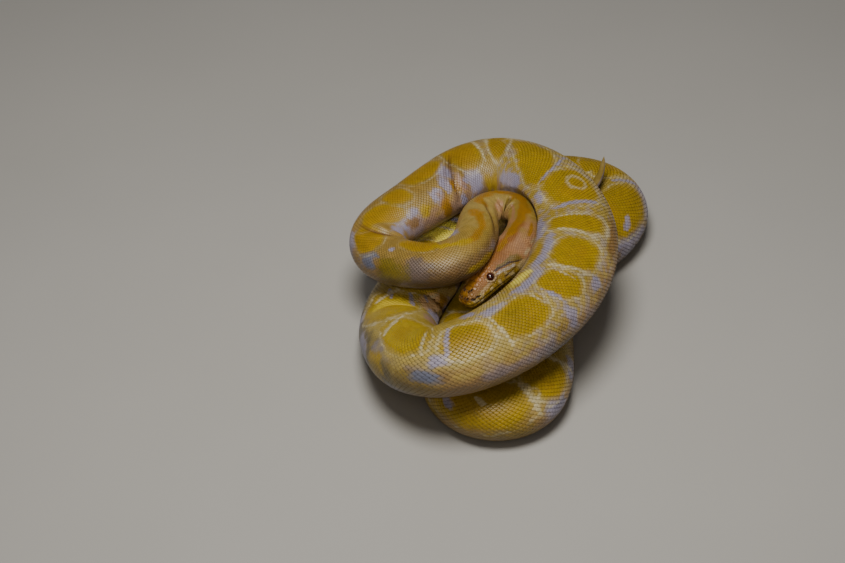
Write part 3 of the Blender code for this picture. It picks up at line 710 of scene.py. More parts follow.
class Markings:
    """The python's colours over the whole body, the same for the skin and everything on it."""

    def __init__(self, body):
        self.body = body
        self.saddles = list(SADDLES)
        self.flecks = list(SIDE_PATCHES)
        chance = np.random.default_rng(MARKING_SEED)
        middle = HIDDEN_FROM
        while middle < HIDDEN_TO:
            half = chance.uniform(0.012, 0.026) * (1 if middle < THIN_FROM else 0.55)
            fresh = (middle + half, chance.uniform(-0.09, 0.05), half, chance.uniform(0.14, 0.21), 0)
            if all(abs(fresh[0] - old[0]) > fresh[2] + old[2] for old in self.saddles):
                self.saddles.append(fresh)
            middle += 2 * half + chance.uniform(0.008, 0.017)
        for side, seen in ((-1, HIDDEN_LEFT), (1, HIDDEN_RIGHT)):
            middle = SIDES_FROM
            while middle < SIDES_TO:
                half = chance.uniform(0.007, 0.016) * (1 if middle < THIN_FROM else 0.6)
                turn = side * chance.uniform(0.40, 0.58)
                if any(start < middle < end for start, end in seen):
                    kind = "gold" if chance.random() < 0.6 else "pale"
                    self.flecks.append((middle, turn, half, chance.uniform(0.08, 0.15), 0, kind))
                middle += 2 * half + chance.uniform(0.006, 0.020)

    def colours(self, along, around):
        girth, _ = self.body.measures(along)
        arc = around * girth
        wobble = noise(along * 160 + 9, arc * 160 + 40, 1) - 0.5
        fine = noise(along * 420 + 3, arc * 420 + 70, 2) - 0.5
        broad = noise(along * 38 + 5, arc * 38 + 20, 3)
        turn = np.abs(around) + 0.16 * wobble
        low, high = along.min() - 0.02, along.max() + 0.02
        out = np.zeros(np.shape(along) + (3,)) + GROUND
        out = layer(out, GROUND_PALE, 0.50 * smoothstep(0.25, 0.75, broad + 0.5 * fine))
        out = layer(out, WARM_GROUND, 0.80 * smoothstep(0.56, 0.46, along)
                    * (0.45 + 0.55 * smoothstep(0.20, 0.28, along)))
        olive = smoothstep(0.86, 0.92, along) * smoothstep(1.08, 1.02, along)
        flank = smoothstep(0.28, 0.50, turn + 0.07 * olive)
        rosy = smoothstep(0.36, 0.40, along) * smoothstep(0.56, 0.48, along)
        sides = layer(layer(np.zeros(out.shape) + FLANK, ROSY_FLANK, rosy), OLIVE_FLANK, olive)
        out = out + (sides - out) * (flank * (0.60 + 0.40 * smoothstep(0.3, 0.7, broad)))[..., None]
        fore = smoothstep(0.19, 0.23, along) * smoothstep(0.335, 0.310, along)
        out = layer(out, FORE_BROWN, 0.80 * fore * smoothstep(-0.16, -0.36, around + 0.05 * wobble))
        out = layer(out, LAVENDER,
                    0.5 * flank * smoothstep(0.60, 0.85, noise(along * 60 + 31, arc * 60 + 11, 4)))
        clouded = smoothstep(0.48, 0.54, along) * smoothstep(0.86, 0.80, along)
        out = layer(out, LAVENDER,
                    0.38 * clouded * smoothstep(0.45, 0.80, noise(along * 260 + 21, arc * 260 + 44, 10)))
        kinds = {"gold": GOLD, "pale": LAVENDER, "blue": LAVENDER, "olive": OLIVE_GOLD}
        kinds.update(bright=LEMON_AND_PAINTED_LIGHT, brown=BROWN, dull=DULL, umber=UMBER_AND_PAINTED_SHADE, steel=STEEL, rosy=PINK,
                     amber=AMBER, peach=PEACH_AND_PAINTED_LIGHT)
        # Side patches; the lemon and peach ones are partly painted light.
        for middle, place, half_long, half_round, slant, kind in self.flecks:
            if low < middle + half_long and middle - half_long < high:
                near = blotch(along, around, (middle, place, half_long, half_round, slant),
                              0.7 * wobble + 0.5 * fine)
                out = layer(out, kinds[kind], 0.90 * smoothstep(1.35, 0.65, near))
        for saddle in self.saddles:
            if saddle[0] + 1.6 * saddle[2] < low or high < saddle[0] - 1.6 * saddle[2]:
                continue
            rim = blotch(along, around, saddle, 0.20 * wobble + 0.08 * fine)
            break_up = smoothstep(0.30, 0.60, noise(along * 210 + 50, arc * 210 + 60, 5))
            rim_share = OUTLINE_HALF / saddle[2]
            line = smoothstep(1.0, 0.1, np.abs(rim - SADDLE_OUTLINE - rim_share) / rim_share)
            strength = (0.30 + 0.45 * smoothstep(0.40, 0.50, along)
                        - 0.28 * np.exp(-((along - FAINT_OUTLINE[0]) / FAINT_OUTLINE[1]) ** 2))
            out = layer(out, PALE, strength * line * (0.35 + 0.65 * break_up))
            out = layer(out, GOLD, smoothstep(1.36, 1.00, rim))
            out = layer(out, AMBER, 0.45 * smoothstep(0.56, 0.48, along) * smoothstep(1.30, 0.80, rim))
            out = layer(out, SUNNY, 0.7 * olive * smoothstep(1.25, 0.60, rim))
            out = layer(out, OLIVE_GOLD, 0.35 * smoothstep(0.79, 0.82, along)
                        * smoothstep(0.90, 0.86, along) * smoothstep(1.25, 0.60, rim))
            out = layer(out, GOLD_DEEP, 0.6 * smoothstep(0.95, 0.35, rim) * smoothstep(0.3, 0.7, broad))
        ring = np.hypot(along - EYED_SADDLE[0], arc - EYED_SADDLE[1]) / EYED_SADDLE[2]
        out = layer(out, PALE, 0.55 * smoothstep(0.30, 0.10, np.abs(ring - 1 + 0.3 * wobble)))
        out = self.head_colours(out, along, around, wobble, fine)
        # Streaks; the yellow one under a loop is partly painted light, the umber one in the neck's slit
        # painted shade.
        for stroke, width, kind in STREAKS:
            if low < max(stroke[0][0], stroke[1][0]) and min(stroke[0][0], stroke[1][0]) < high:
                distance, share = stroke_distance(along, around, girth, stroke)
                uneven = width * (0.85 + 0.9 * wobble + 0.4 * fine)
                ends = np.sin(np.pi * np.clip(0.08 + 0.84 * share, 0, 1)) ** 0.3
                near = distance / np.maximum(uneven * ends, 1e-5)
                out = layer(out, STREAK_COLOURS[kind], 0.90 * smoothstep(1.35, 0.60, near))
        # Painted shade along the bottom of each crease, fading towards its ends.
        for path, depth, width in CREASES:
            if depth > 0 and low < max(spot[0] for spot in path) and min(spot[0] for spot in path) < high:
                distance, share = path_distance(along, around, girth, path)
                ends = np.sin(np.pi * np.clip(0.04 + 0.92 * share, 0, 1)) ** 0.5
                out = layer(out, CREASE_SHADE, min(depth / 0.0024, 0.9) * ends
                            * np.exp(-(distance / (0.42 * width)) ** 2))
        # Painted shade: the sides darken towards the belly, for the shade under the body.
        painted_side_shade = smoothstep(0.32, 0.56, turn) * smoothstep(0.16, 0.24, along)
        out = out * (1 - LOW_SIDE_SHADE * painted_side_shade)[..., None]
        belly = smoothstep(BELLY_EDGE - 0.14, BELLY_EDGE - 0.02, turn)
        out = layer(out, CREAM, belly * smoothstep(0.0, 0.02, along))
        tip = smoothstep(1.90, 2.0, along)
        out = layer(out, LAVENDER, 0.7 * tip * smoothstep(0.22, 0.42, around))
        specks = noise(along * 700 + 12, arc * 700 + 33, 6) > 0.985
        out = layer(out, SPECK, 0.35 * specks * (turn < 0.6))
        return np.clip(out * (0.94 + 0.18 * fine + 0.22 * (broad - 0.5))[..., None], 0, 1)

    def head_colours(self, out, along, around, wobble, fine):
        """The crown, the stripe behind the eye, the lips, the snout, and painted shade in its openings."""
        head = smoothstep(0.112, 0.084, along + 0.03 * wobble)
        if not np.any(head > 0):
            return out
        turn = np.abs(around) + 0.05 * wobble
        arc_of = around * HEAD_ARC
        skin = np.zeros(np.shape(along) + (3,)) + CROWN
        skin = layer(skin, ROSE, smoothstep(0.050, 0.075, along) * smoothstep(0.05, 0.16, turn))
        skin = layer(skin, SNOUT, smoothstep(0.030, 0.012, along + 0.012 * wobble))
        skin = layer(skin, LIP, smoothstep(0.34, 0.42, turn) * smoothstep(0.070, 0.056, along))
        skin = layer(skin, LIP_PALE, 0.6 * smoothstep(0.38, 0.44, turn)
                     * smoothstep(0.50, 0.75, noise(along * 330, around * 14, 8)))
        for stroke, width, colour in HEAD_STRIPES:
            (start, first), (end, last) = stroke
            middle = np.interp(along, (start, end), (first, last))
            width = np.interp(along, (start, end), width)
            inside = (smoothstep(start - 0.002, start + 0.001, along)
                      * smoothstep(end + 0.003, end - 0.001, along))
            uneven = width * (1 + 0.5 * fine + 0.4 * wobble)
            mottled = (0.55 + 0.45 * smoothstep(0.3, 0.6, noise(along * 620, arc_of * 620, 9))
                       if colour == CHEEK_AND_PAINTED_HIGHLIGHT else 1)
            skin = layer(skin, colour, mottled * inside
                         * smoothstep(1.20, 0.70, np.abs(turn - middle) / uneven))
        ahead, down = along - EYE_SPOT[0], (np.abs(around) - EYE_SPOT[1]) * HEAD_ARC
        gather = np.hypot(ahead, down)
        skin = layer(skin, STRIPE, 0.7 * smoothstep(0.0066, 0.0056, gather) * smoothstep(0.0, 0.0030, down))
        skin = layer(skin, EYE_RING, smoothstep(0.0056, 0.0050, gather) * smoothstep(-0.0040, 0.0, down))
        flat = head_plane(self.body, along, np.abs(around))
        for spot, _, size in hollows(self.body):
            away = np.hypot(flat[0] - spot[0], flat[1] - spot[1])
            # Painted shade in and round each nostril and heat pit.
            skin = layer(skin, HOLLOW_SHADE, smoothstep(1.45 * size, 1.00 * size, away))
        return out + (skin - out) * head[..., None]


# ================================================================ meshes
def add_piece(name, points, faces, finish, colours, spots):
    """A piece from arrays of points and faces, with its colours, its place on the unwrap and its finish."""
    mesh = bpy.data.meshes.new(name)
    counts = np.concatenate([np.full(len(group), group.shape[1]) for group in faces])
    corners = np.concatenate([group.ravel() for group in faces])
    mesh.vertices.add(len(points))
    mesh.vertices.foreach_set("co", np.asarray(points, np.float32).ravel())
    mesh.loops.add(len(corners))
    mesh.loops.foreach_set("vertex_index", corners.astype(np.int32))
    mesh.polygons.add(len(counts))
    mesh.polygons.foreach_set("loop_start", np.concatenate([[0], np.cumsum(counts)[:-1]]).astype(np.int32))
    mesh.update(calc_edges=True)
    mesh.shade_smooth()
    store_colours(mesh, colours)
    unwrap = mesh.uv_layers.new(name="OFBake")
    unwrap.data.foreach_set("uv", np.asarray(spots, np.float32)[corners].ravel())
    mesh.materials.append(finish.material)
    piece = bpy.data.objects.new(name, mesh)
    bpy.context.scene.collection.objects.link(piece)
    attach(piece, "root")
    return piece


def store_colours(mesh, colours):
    """The marking of each point, with how near it is to its scale's rim as the fourth value."""
    attribute = mesh.attributes.new("markings", "FLOAT_COLOR", "POINT")
    attribute.data.foreach_set("color", np.asarray(colours, np.float32).ravel())


def modelled(build):
    """The points and faces of a small shape made with the modelling tools, which is then removed."""
    bpy.ops.object.select_all(action="DESELECT")
    build()
    shape = bpy.context.object
    points = np.array([vertex.co for vertex in shape.data.vertices])
    faces = [list(face.vertices) for face in shape.data.polygons]
    bpy.data.objects.remove(shape)
    sizes = sorted({len(face) for face in faces})
    return points, [np.array([face for face in faces if len(face) == size]) for size in sizes]


def shape_scale():
    """One scale, its root at -0.5 and its tip at 0.5 along X, half a unit to each side: a thin pillow."""
    bpy.ops.mesh.primitive_cone_add(
        vertices=8, radius1=0.5, radius2=0.33, depth=1, end_fill_type="NGON", location=(0, 0, 0.5))
    bpy.ops.object.mode_set(mode="EDIT")
    cage = bmesh.from_edit_mesh(bpy.context.object.data)
    for face in cage.faces:
        face.select_set(face.calc_center_median().z > 0.4)
    bmesh.update_edit_mesh(bpy.context.object.data)
    bpy.ops.mesh.poke()
    bpy.ops.object.mode_set(mode="OBJECT")


def unwrap_place(body, along, around):
    """Where a place lies on the unwrap: three strips, each as long as the number of scales it holds."""
    share = np.interp(along, body.along, body.rows) / body.rows[-1] * STRIPS
    strip = np.minimum(np.floor(share), STRIPS - 1)
    return np.stack([share - strip, (strip + (around + 1) / 2) / STRIPS], axis=-1)


def scale_places(body):
    """The root of every body scale: its place along and around, on rows that run the length of the body."""
    spots = []
    first, last = np.interp((SCALES_FROM, body.length - SCALES_TO_TIP), body.along, body.rows)
    girth, row = body.measures(body.along)
    most = int((BELLY_EDGE * girth / row).max()) + 1
    for line in range(-most, most + 1):
        count = np.arange(math.ceil(first), last) + 0.5 * (line % 2)
        along = np.interp(count, body.rows, body.along)
        girth_here, row_here = body.measures(along)
        around = line * row_here / girth_here
        keep = np.abs(around) < BELLY_EDGE
        spots.append(np.column_stack([along, around])[keep])
    return np.concatenate(spots)


def add_scales(body, markings, finish):
    """The body's scales: thin overlapping rhombs, each with its tip over the root of the one behind."""
    shape, faces = modelled(shape_scale)
    rim = np.hypot(shape[:, 0], shape[:, 1]) > 0.45
    angle = np.arctan2(shape[:, 1], shape[:, 0])
    blunt = ((np.abs(np.cos(angle)) ** SCALE_SHAPE + np.abs(np.sin(angle)) ** SCALE_SHAPE)
             ** (-1 / SCALE_SHAPE))
    flat = shape[:, :2] * blunt[:, None]
    flat[:, 1] *= 1 - 0.25 * flat[:, 0]
    dome = shape[:, 2] * np.where(rim, 1, 0.8) + 0.25 * (np.hypot(shape[:, 0], shape[:, 1]) < 0.1)
    places = scale_places(body)
    places = places[np.argsort(places[:, 0], kind="stable")]
    chance = np.random.default_rng(SCALE_SEED)
    for number, part in enumerate(np.array_split(places, SCALE_PIECES), 1):
        along, around = part[:, :1], part[:, 1:]
        girth, row = body.measures(along)
        size = 1 + chance.uniform(-0.04, 0.04, along.shape)
        length, width = SCALE_LENGTH * SCALE_PITCH * row * size, SCALE_WIDTH * row * size
        x, y = flat[:, 0] * length, flat[:, 1] * width
        lift = (ROOT_DEPTH + (flat[:, 0] + 0.5) * TIP_LIFT * row / ROW_WIDTH
                + dome * SCALE_DOME * row / ROW_WIDTH)
        points = body.skin(along + x, around + y / girth, lift)
        tints = markings.colours(along + x, around + y / girth)
        whole = markings.colours(along, around)
        tints = ((OWN_TINT * whole + (1 - OWN_TINT) * tints)
                 * (1 + chance.uniform(-0.05, 0.05, (len(part), 1, 1))))
        faint = BACK_RIM * smoothstep(0.42, 0.12, np.abs(around))
        rims = np.where(rim, faint, np.where(dome > 1, 1, 0.7))
        colours = np.concatenate([tints, rims[..., None]], axis=2)
        spots = unwrap_place(body, part[:, 0], part[:, 1])[:, None] + flat * PATCH
        first = np.arange(len(part))[:, None, None] * len(shape)
        groups = [(first + group).reshape(-1, group.shape[1]) for group in faces]
        add_piece(f"scales_{number:02d}", points.reshape(-1, 3), groups, finish,
                  colours.reshape(-1, 4), spots.reshape(-1, 2))


def patch_grid(across, down):
    """Points from -1 to 1 each way on a closed slab's two sides, and its faces: top, bottom and rims."""
    u, v = np.meshgrid(np.linspace(-1, 1, down), np.linspace(-1, 1, across), indexing="ij")
    top = np.arange(down * across).reshape(down, across)
    quads = np.stack([top[:-1, :-1], top[1:, :-1], top[1:, 1:], top[:-1, 1:]], axis=-1).reshape(-1, 4)
    under = quads[:, ::-1] + down * across
    loop = np.concatenate([top[:, 0], top[-1, 1:], top[-2::-1, -1], top[0, -2:0:-1]])
    after = np.roll(loop, -1)
    rims = np.stack([after, loop, loop + down * across, after + down * across], axis=-1)
    return u.ravel(), v.ravel(), np.concatenate([quads, under, rims])


def add_belly(body, markings, finish):
    """The belly's wide plates, one behind the other, in pairs under the tail."""
    u, v, quads = patch_grid(9, 4)
    _, row = body.measures(body.along)
    pitch = BELLY_PITCH * row
    steps = np.concatenate([[0], np.cumsum(np.diff(body.along) / pitch[1:])])
    places = np.interp(np.arange(0.5, steps[-1]), steps, body.along)
    places = places[(places > THROAT_TO) & (places < body.length - 0.006)]
    points, colours, spots, faces = [], [], [], []
    for along in places:
        _, row = body.measures(np.array(along))
        half = 0.56 * BELLY_PITCH * row
        halves = ((-1, 1),) if along < VENT else ((-1, -0.02), (0.02, 1))
        for low, high in halves:
            share = (low + high) / 2 + v * (high - low) / 2
            edge = 1 - 0.35 * np.abs(v) ** 3
            s = along + u * half * edge
            q = 1 - share * (1 - BELLY_EDGE + 0.01)
            round_off = np.clip(1 - np.maximum(np.abs(u), np.abs(v)) ** 4, 0, 1)
            lift = ROOT_DEPTH + (u + 1) / 2 * TIP_LIFT * 0.8 + BELLY_DOME * round_off
            upper = body.skin(s, q, lift)
            lower = body.skin(s, q, lift - BELLY_THICKNESS * (0.4 + 0.6 * round_off))
            ground = body.surface(s, q)[:, 2] < FLOOR_LIFT + 1e-6
            upper[ground, 2] = np.minimum(upper[ground, 2], FLOOR_LIFT)
            first = sum(len(group) for group in points)
            points.append(np.concatenate([upper, lower]))
            tint = markings.colours(np.array([along]), np.array([0.97]))[0]
            shade = np.concatenate([round_off, 0 * round_off])
            colours.append(np.column_stack([np.tile(tint, (2 * len(u), 1)), shade]))
            beside = (2 - (low + high) / 2 * (1 - BELLY_EDGE) - 0.03) % 2 - 1
            centre = unwrap_place(body, np.array(along), np.array(beside))
            patch = np.stack([u, v * 1.6], axis=-1) * PATCH
            spots.append(np.concatenate([patch, patch]) + centre)
            faces.append(quads + first)
    return add_piece("belly_plates", np.concatenate(points), [np.concatenate(faces)], finish,
                     np.concatenate(colours), np.concatenate(spots))


def near_crease(body, along, around):
    """Which places past the neck lie in or beside a crease."""
    girth, _ = body.measures(along)
    near = np.zeros(len(along), bool)
    for path, _, width in CREASES:
        if path[0][0] > NECK_FINE_TO:
            near |= path_distance(along, around, girth, path)[0] < CREASE_REACH * width
    return near


def cut_finer(body, mesh, wanted, cuts):
    """Subdivides the flat grid where a test of the place along and around holds."""
    bpy.ops.mesh.select_all(action="DESELECT")
    cage = bmesh.from_edit_mesh(mesh)
    middles = np.array([face.calc_center_median()[:2] for face in cage.faces])
    along = np.interp((middles[:, 0] + 1) / 2 * body.rows[-1], body.rows, body.along)
    for face, chosen in zip(cage.faces, wanted(along, middles[:, 1])):
        if chosen:
            face.select_set(True)
    bmesh.update_edit_mesh(mesh)
    bpy.ops.mesh.subdivide(number_cuts=cuts)


def add_skin(body, markings, finish, eyes):
    """One closed skin over the head, body and tail: a flat grid rolled round the spine, finer on the head."""
    bpy.ops.object.select_all(action="DESELECT")
    bpy.ops.mesh.primitive_grid_add(x_subdivisions=SKIN_ROWS, y_subdivisions=SKIN_COLUMNS, size=2)
    piece = bpy.context.object
    piece.name = "skin"
    bpy.ops.object.mode_set(mode="EDIT")
    cut_finer(body, piece.data, lambda along, around: along < HEAD_FINE_TO, 2)
    cut_finer(body, piece.data, lambda along, around: (along > HEAD_FINE_TO) & (along < NECK_FINE_TO), 1)
    cut_finer(body, piece.data, lambda along, around: near_crease(body, along, around), 2)
    bpy.ops.mesh.select_all(action="SELECT")
    bpy.ops.mesh.flip_normals()
    bpy.ops.object.mode_set(mode="OBJECT")
    mesh = piece.data
    flat = np.empty(3 * len(mesh.vertices), np.float32)
    mesh.vertices.foreach_get("co", flat)
    flat = flat.reshape(-1, 3).astype(float)
    along = np.interp((flat[:, 0] + 1) / 2 * body.rows[-1], body.rows, body.along)
    around = flat[:, 1]
    corner = np.empty(len(mesh.loops), np.int32)
    mesh.loops.foreach_get("vertex_index", corner)
    totals = np.empty(len(mesh.polygons), np.int32)
    mesh.polygons.foreach_get("loop_total", totals)
    owner = np.repeat(np.arange(len(totals)), totals)
    share = (flat[:, 0] + 1) / 2
    middle = np.bincount(owner, share[corner]) / totals
    strip = np.minimum(np.floor(middle * STRIPS), STRIPS - 1)[owner]
    spots = np.column_stack([share[corner] * STRIPS - strip, (strip + (around[corner] + 1) / 2) / STRIPS])
    while mesh.uv_layers:
        mesh.uv_layers.remove(mesh.uv_layers[0])
    mesh.uv_layers.new(name="OFBake").data.foreach_set("uv", spots.astype(np.float32).ravel())
    colours = markings.colours(along, around)
    points = open_sockets(body.skin(along, around), eyes)
    mesh.vertices.foreach_set("co", points.astype(np.float32).ravel())
    store_colours(mesh, np.column_stack([colours * SKIN_BETWEEN, np.zeros(len(along))]))
    bpy.ops.object.mode_set(mode="EDIT")
    bpy.ops.mesh.select_all(action="SELECT")
    bpy.ops.mesh.remove_doubles(threshold=1e-6)
    bpy.ops.object.mode_set(mode="OBJECT")
    mesh.shade_smooth()
    mesh.materials.clear()
    mesh.materials.append(finish.material)
    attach(piece, "root")
    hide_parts(*FLESH)
    return piece


class Eye:
    """Where one eye sits, from its solid: its middle, radius, and outward, forward and upward directions."""

    def __init__(self, body, node, side):
        low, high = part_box(node)
        self.middle = np.array((low + high) / 2)
        self.radius = max(high - low) / 2
        self.node = node
        sideways, up = body.axes(np.array(EYE_ALONG))
        self.out = unit(side * sideways + EYE_LIFT * up)
        self.ahead = unit(-np.array([np.interp(EYE_ALONG, body.along, column) for column in body.tangent.T]))
        self.ahead = unit(self.ahead - self.ahead.dot(self.out) * self.out)
        self.up = np.cross(self.out, self.ahead) * side


def open_sockets(points, eyes):
    """Draws the skin in behind each eye and swells it to a rim round the eye."""
    for eye in eyes:
        away = points - eye.middle
        depth = away @ eye.out
        beside = np.linalg.norm(away - depth[:, None] * eye.out, axis=1)
        near = (depth > -0.5 * eye.radius) & (beside < 2 * eye.radius)
        behind = 0.30 * eye.radius * smoothstep(EYE_OPENING, 0.8 * EYE_OPENING, beside)
        shell = np.sqrt(np.clip((1.06 * eye.radius) ** 2 - beside ** 2, 0, None))
        rim = np.maximum(depth, shell - 0.0006)
        inner = np.minimum(depth, np.sqrt(np.clip(eye.radius ** 2 - beside ** 2, 0, None)) - 0.0009)
        open_share = smoothstep(EYE_OPENING + 0.0003, EYE_OPENING - 0.0003, beside)
        moved = np.where(beside < 1.03 * eye.radius,
                         rim * (1 - open_share) + inner * open_share, depth) - behind
        points = points + np.where(near, moved - depth, 0)[:, None] * eye.out
    return points


def add_eye(eye, side, finish):
    """A glossy ball with a rounded clear cover, that carries its own directions for the pupil."""
    bpy.ops.object.select_all(action="DESELECT")
    bpy.ops.mesh.primitive_uv_sphere_add(segments=48, ring_count=24, radius=1)
    piece = bpy.context.object
    piece.name = f"{eye.node}_ball"
    bpy.ops.object.mode_set(mode="EDIT")
    cage = bmesh.from_edit_mesh(piece.data)
    for vertex in cage.verts:
        vertex.select_set(vertex.co.z > 0.6)
    bmesh.update_edit_mesh(piece.data)
    bpy.ops.transform.resize(value=(1, 1, 1.03))
    bpy.ops.object.mode_set(mode="OBJECT")
    mesh = piece.data
    local = np.array([vertex.co for vertex in mesh.vertices])
    axes = np.stack([eye.ahead, side * eye.up, eye.out])
    points = eye.middle + 0.97 * eye.radius * local @ axes
    mesh.vertices.foreach_set("co", points.astype(np.float32).ravel())
    gaze = mesh.attributes.new("gaze", "FLOAT_VECTOR", "POINT")
    gaze.data.foreach_set("vector", local.astype(np.float32).ravel())
    bpy.ops.object.mode_set(mode="EDIT")
    bpy.ops.mesh.select_all(action="SELECT")
    bpy.ops.mesh.normals_make_consistent(inside=False)
    bpy.ops.object.mode_set(mode="OBJECT")
    mesh.shade_smooth()
    mesh.materials.append(finish.material)
    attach(piece, "root")
    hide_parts(eye.node)
    return piece


# ================================================================ the head's plates
def head_seeds(body):
    """The middle and size of every plate on the head, and which of them are openings left without a plate."""
    def girth_at(along):
        return float(body.measures(np.array(along))[0])

    plates = [(along, around, size, True) for along, around, size in CROWN_PLATES]
    plates += [(along, -around, size, True) for along, around, size in CROWN_PLATES if 0 < around < 1]
    for side in (-1, 1):
        for spots, above, size in ((UPPER_LIPS, LIP_PLATE_RISE, 0.0023),
                                   (LOWER_LIPS, -LIP_PLATE_RISE, 0.0020)):
            for along in spots:
                around = mouth_around(body, along) - above / girth_at(along)
                plates.append((along, side * around, size, True))
        for along, around in NOSTRILS:
            plates.append((along, side * around, OPENING_SHARE * NOSTRIL_SIZE, False))
        for along, around in LABIAL_PITS:
            plates.append((along, side * around, OPENING_SHARE * PIT_SIZE, False))
        plates.append((EYE_SPOT[0], side * EYE_SPOT[1], EYE_OPENING, False))
        for turn in np.linspace(0, 2 * math.pi, EYE_RING_PLATES, endpoint=False):
            along = EYE_SPOT[0] + EYE_RING_REACH * math.cos(turn)
            around = EYE_SPOT[1] + EYE_RING_REACH * math.sin(turn) / girth_at(EYE_SPOT[0])
            plates.append((along, side * around, 0.0012, True))
    named = np.array(plates, float)
    where = body.surface(named[:, 0], named[:, 1])
    count = np.arange(0, np.interp(SCALES_FROM + 0.004, body.along, body.rows) / HEAD_SCALE_SHARE, 0.5)
    for half_step in count:
        along = float(np.interp(half_step * HEAD_SCALE_SHARE, body.rows, body.along))
        if along < 0.003:
            continue
        step = float(body.measures(np.array(along))[1]) * HEAD_SCALE_SHARE / girth_at(along)
        odd = round(2 * half_step) % 2
        turns = np.arange(-int(1 / step), int(1 / step) + 1)
        turns = turns[turns % 2 == odd] * step
        spots = body.surface(np.full(len(turns), along), turns)
        for turn, spot in zip(turns, spots):
            gap = np.linalg.norm(where - spot, axis=1) - named[:, 2]
            if gap.min() > 0.0007 and abs(turn) < 0.995:
                plates.append((along, turn, 0.0008, True))
    return np.array(plates, float)


def clip_outline(outline, direction, limit):
    """The part of a flat outline on the near side of a line."""
    kept = []
    reach = [point[0] * direction[0] + point[1] * direction[1] - limit for point in outline]
    for k, point in enumerate(outline):
        before, past = reach[k - 1], reach[k]
        if before * past < 0:
            share = before / (before - past)
            last = outline[k - 1]
            kept.append((last[0] + share * (point[0] - last[0]), last[1] + share * (point[1] - last[1])))
        if past <= 0:
            kept.append(point)
    return kept


def soften_outline(outline):
    """The outline with its corners rounded, as PLATE_CORNERS points."""
    points = np.array(outline)
    for _ in range(2):
        after = np.roll(points, -1, axis=0)
        points = np.stack([0.78 * points + 0.22 * after, 0.22 * points + 0.78 * after], axis=1).reshape(-1, 2)
    closed = np.vstack([points, points[:1]])
    way = arc_lengths(closed)
    places = np.linspace(0, way[-1], PLATE_CORNERS, endpoint=False)
    return np.stack([np.interp(places, way, closed[:, k]) for k in (0, 1)], axis=1)


def add_head_plates(body, markings, finish, eyes):
    """Plates and small scales that meet edge to edge over the head, each domed, with its own outline."""
    seeds = head_seeds(body)
    along, around, size = seeds[:, 0], seeds[:, 1], seeds[:, 2]
    flat = np.stack(head_plane(body, along, around), axis=1)

    def place(spots):
        reach = np.hypot(spots[..., 0], spots[..., 1])
        near = np.interp(reach, body.from_tip, body.near_tip)
        return near, np.arctan2(spots[..., 0], spots[..., 1]) / np.pi

    step = 0.0001
    middle = body.surface(*place(flat))
    east = (body.surface(*place(flat + (step, 0))) - middle) / step
    north = (body.surface(*place(flat + (0, step))) - middle) / step
    first = unit(east)
    out = unit(np.cross(first, north))
    out *= np.sign((out * body.normal(np.maximum(along, 0.002), around)).sum(axis=1, keepdims=True))
    second = np.cross(out, first)
    across = (north * second).sum(axis=1)
    skew = (north * first).sum(axis=1)
    stretch = np.linalg.norm(east, axis=1)
    outlines, chosen = [], []
    for k in np.flatnonzero(seeds[:, 3] > 0):
        if along[k] > SCALES_FROM + 0.0015:
            continue
        offset = middle - middle[k]
        distance = np.linalg.norm(offset, axis=1)
        near = np.flatnonzero((distance < 0.011) & (distance > 1e-6) & (out @ out[k] > 0.2))
        outline = [(-0.005, -0.005), (0.005, -0.005), (0.005, 0.005), (-0.005, 0.005)]
        for other in near[np.argsort(distance[near])]:
            level = np.array([offset[other] @ first[k], offset[other] @ second[k]])
            level /= np.hypot(*level)
            limit = (distance[other] ** 2 + size[k] ** 2 - size[other] ** 2) / (2 * distance[other])
            outline = clip_outline(outline, level, limit - PLATE_GAP / 2)
            if len(outline) < 3:
                break
        if len(outline) >= 3:
            outlines.append(soften_outline(outline))
            chosen.append(k)
    outlines, chosen = np.array(outlines), np.array(chosen)
    centre = outlines.mean(axis=1, keepdims=True)
    wide = np.linalg.norm(outlines - centre, axis=2).mean(axis=1)
    rings = [centre + (outlines - centre) * share for share, _ in PLATE_RINGS] + [centre, centre]
    lifts = [rise for _, rise in PLATE_RINGS] + [1.0, PLATE_RINGS[0][1]]
    spots, heights, rims = [], [], []
    for ring, rise in zip(rings, lifts):
        dome = PLATE_ROOT + rise * np.clip(PLATE_DOME * wide, 0.00026, 0.00045)
        spots.append(ring)
        heights.append(np.repeat(dome[:, None], ring.shape[1], axis=1))
        rims.append(np.full(ring.shape[:2], max(rise, 0)))
    spots, heights, rims = (np.concatenate(group, axis=1) for group in (spots, heights, rims))
    v = spots[..., 1] / across[chosen, None]
    u = (spots[..., 0] - v * skew[chosen, None]) / stretch[chosen, None]
    s, q = place(flat[chosen, None] + np.stack([u, v], axis=-1))
    points = open_sockets(body.skin(s, q, heights).reshape(-1, 3), eyes)
    tints = 0.25 * markings.colours(along[chosen, None], around[chosen, None]) + 0.75 * markings.colours(s, q)
    chance = np.random.default_rng(5)
    tints = tints * (1 + chance.uniform(-0.06, 0.06, (len(tints), 1, 1)))
    colours = np.concatenate([tints, rims[..., None]], axis=2)
    patch = (spots - centre) / (2 * wide[:, None, None]) * PATCH
    unwrap = unwrap_place(body, along[chosen], around[chosen])[:, None] + patch
    quads, fans = plate_faces()
    base = np.arange(len(chosen))[:, None, None] * s.shape[1]
    groups = [(base + group).reshape(-1, group.shape[1]) for group in (quads, fans)]
    return add_piece("head_plates", points, groups, finish, colours.reshape(-1, 4), unwrap.reshape(-1, 2))


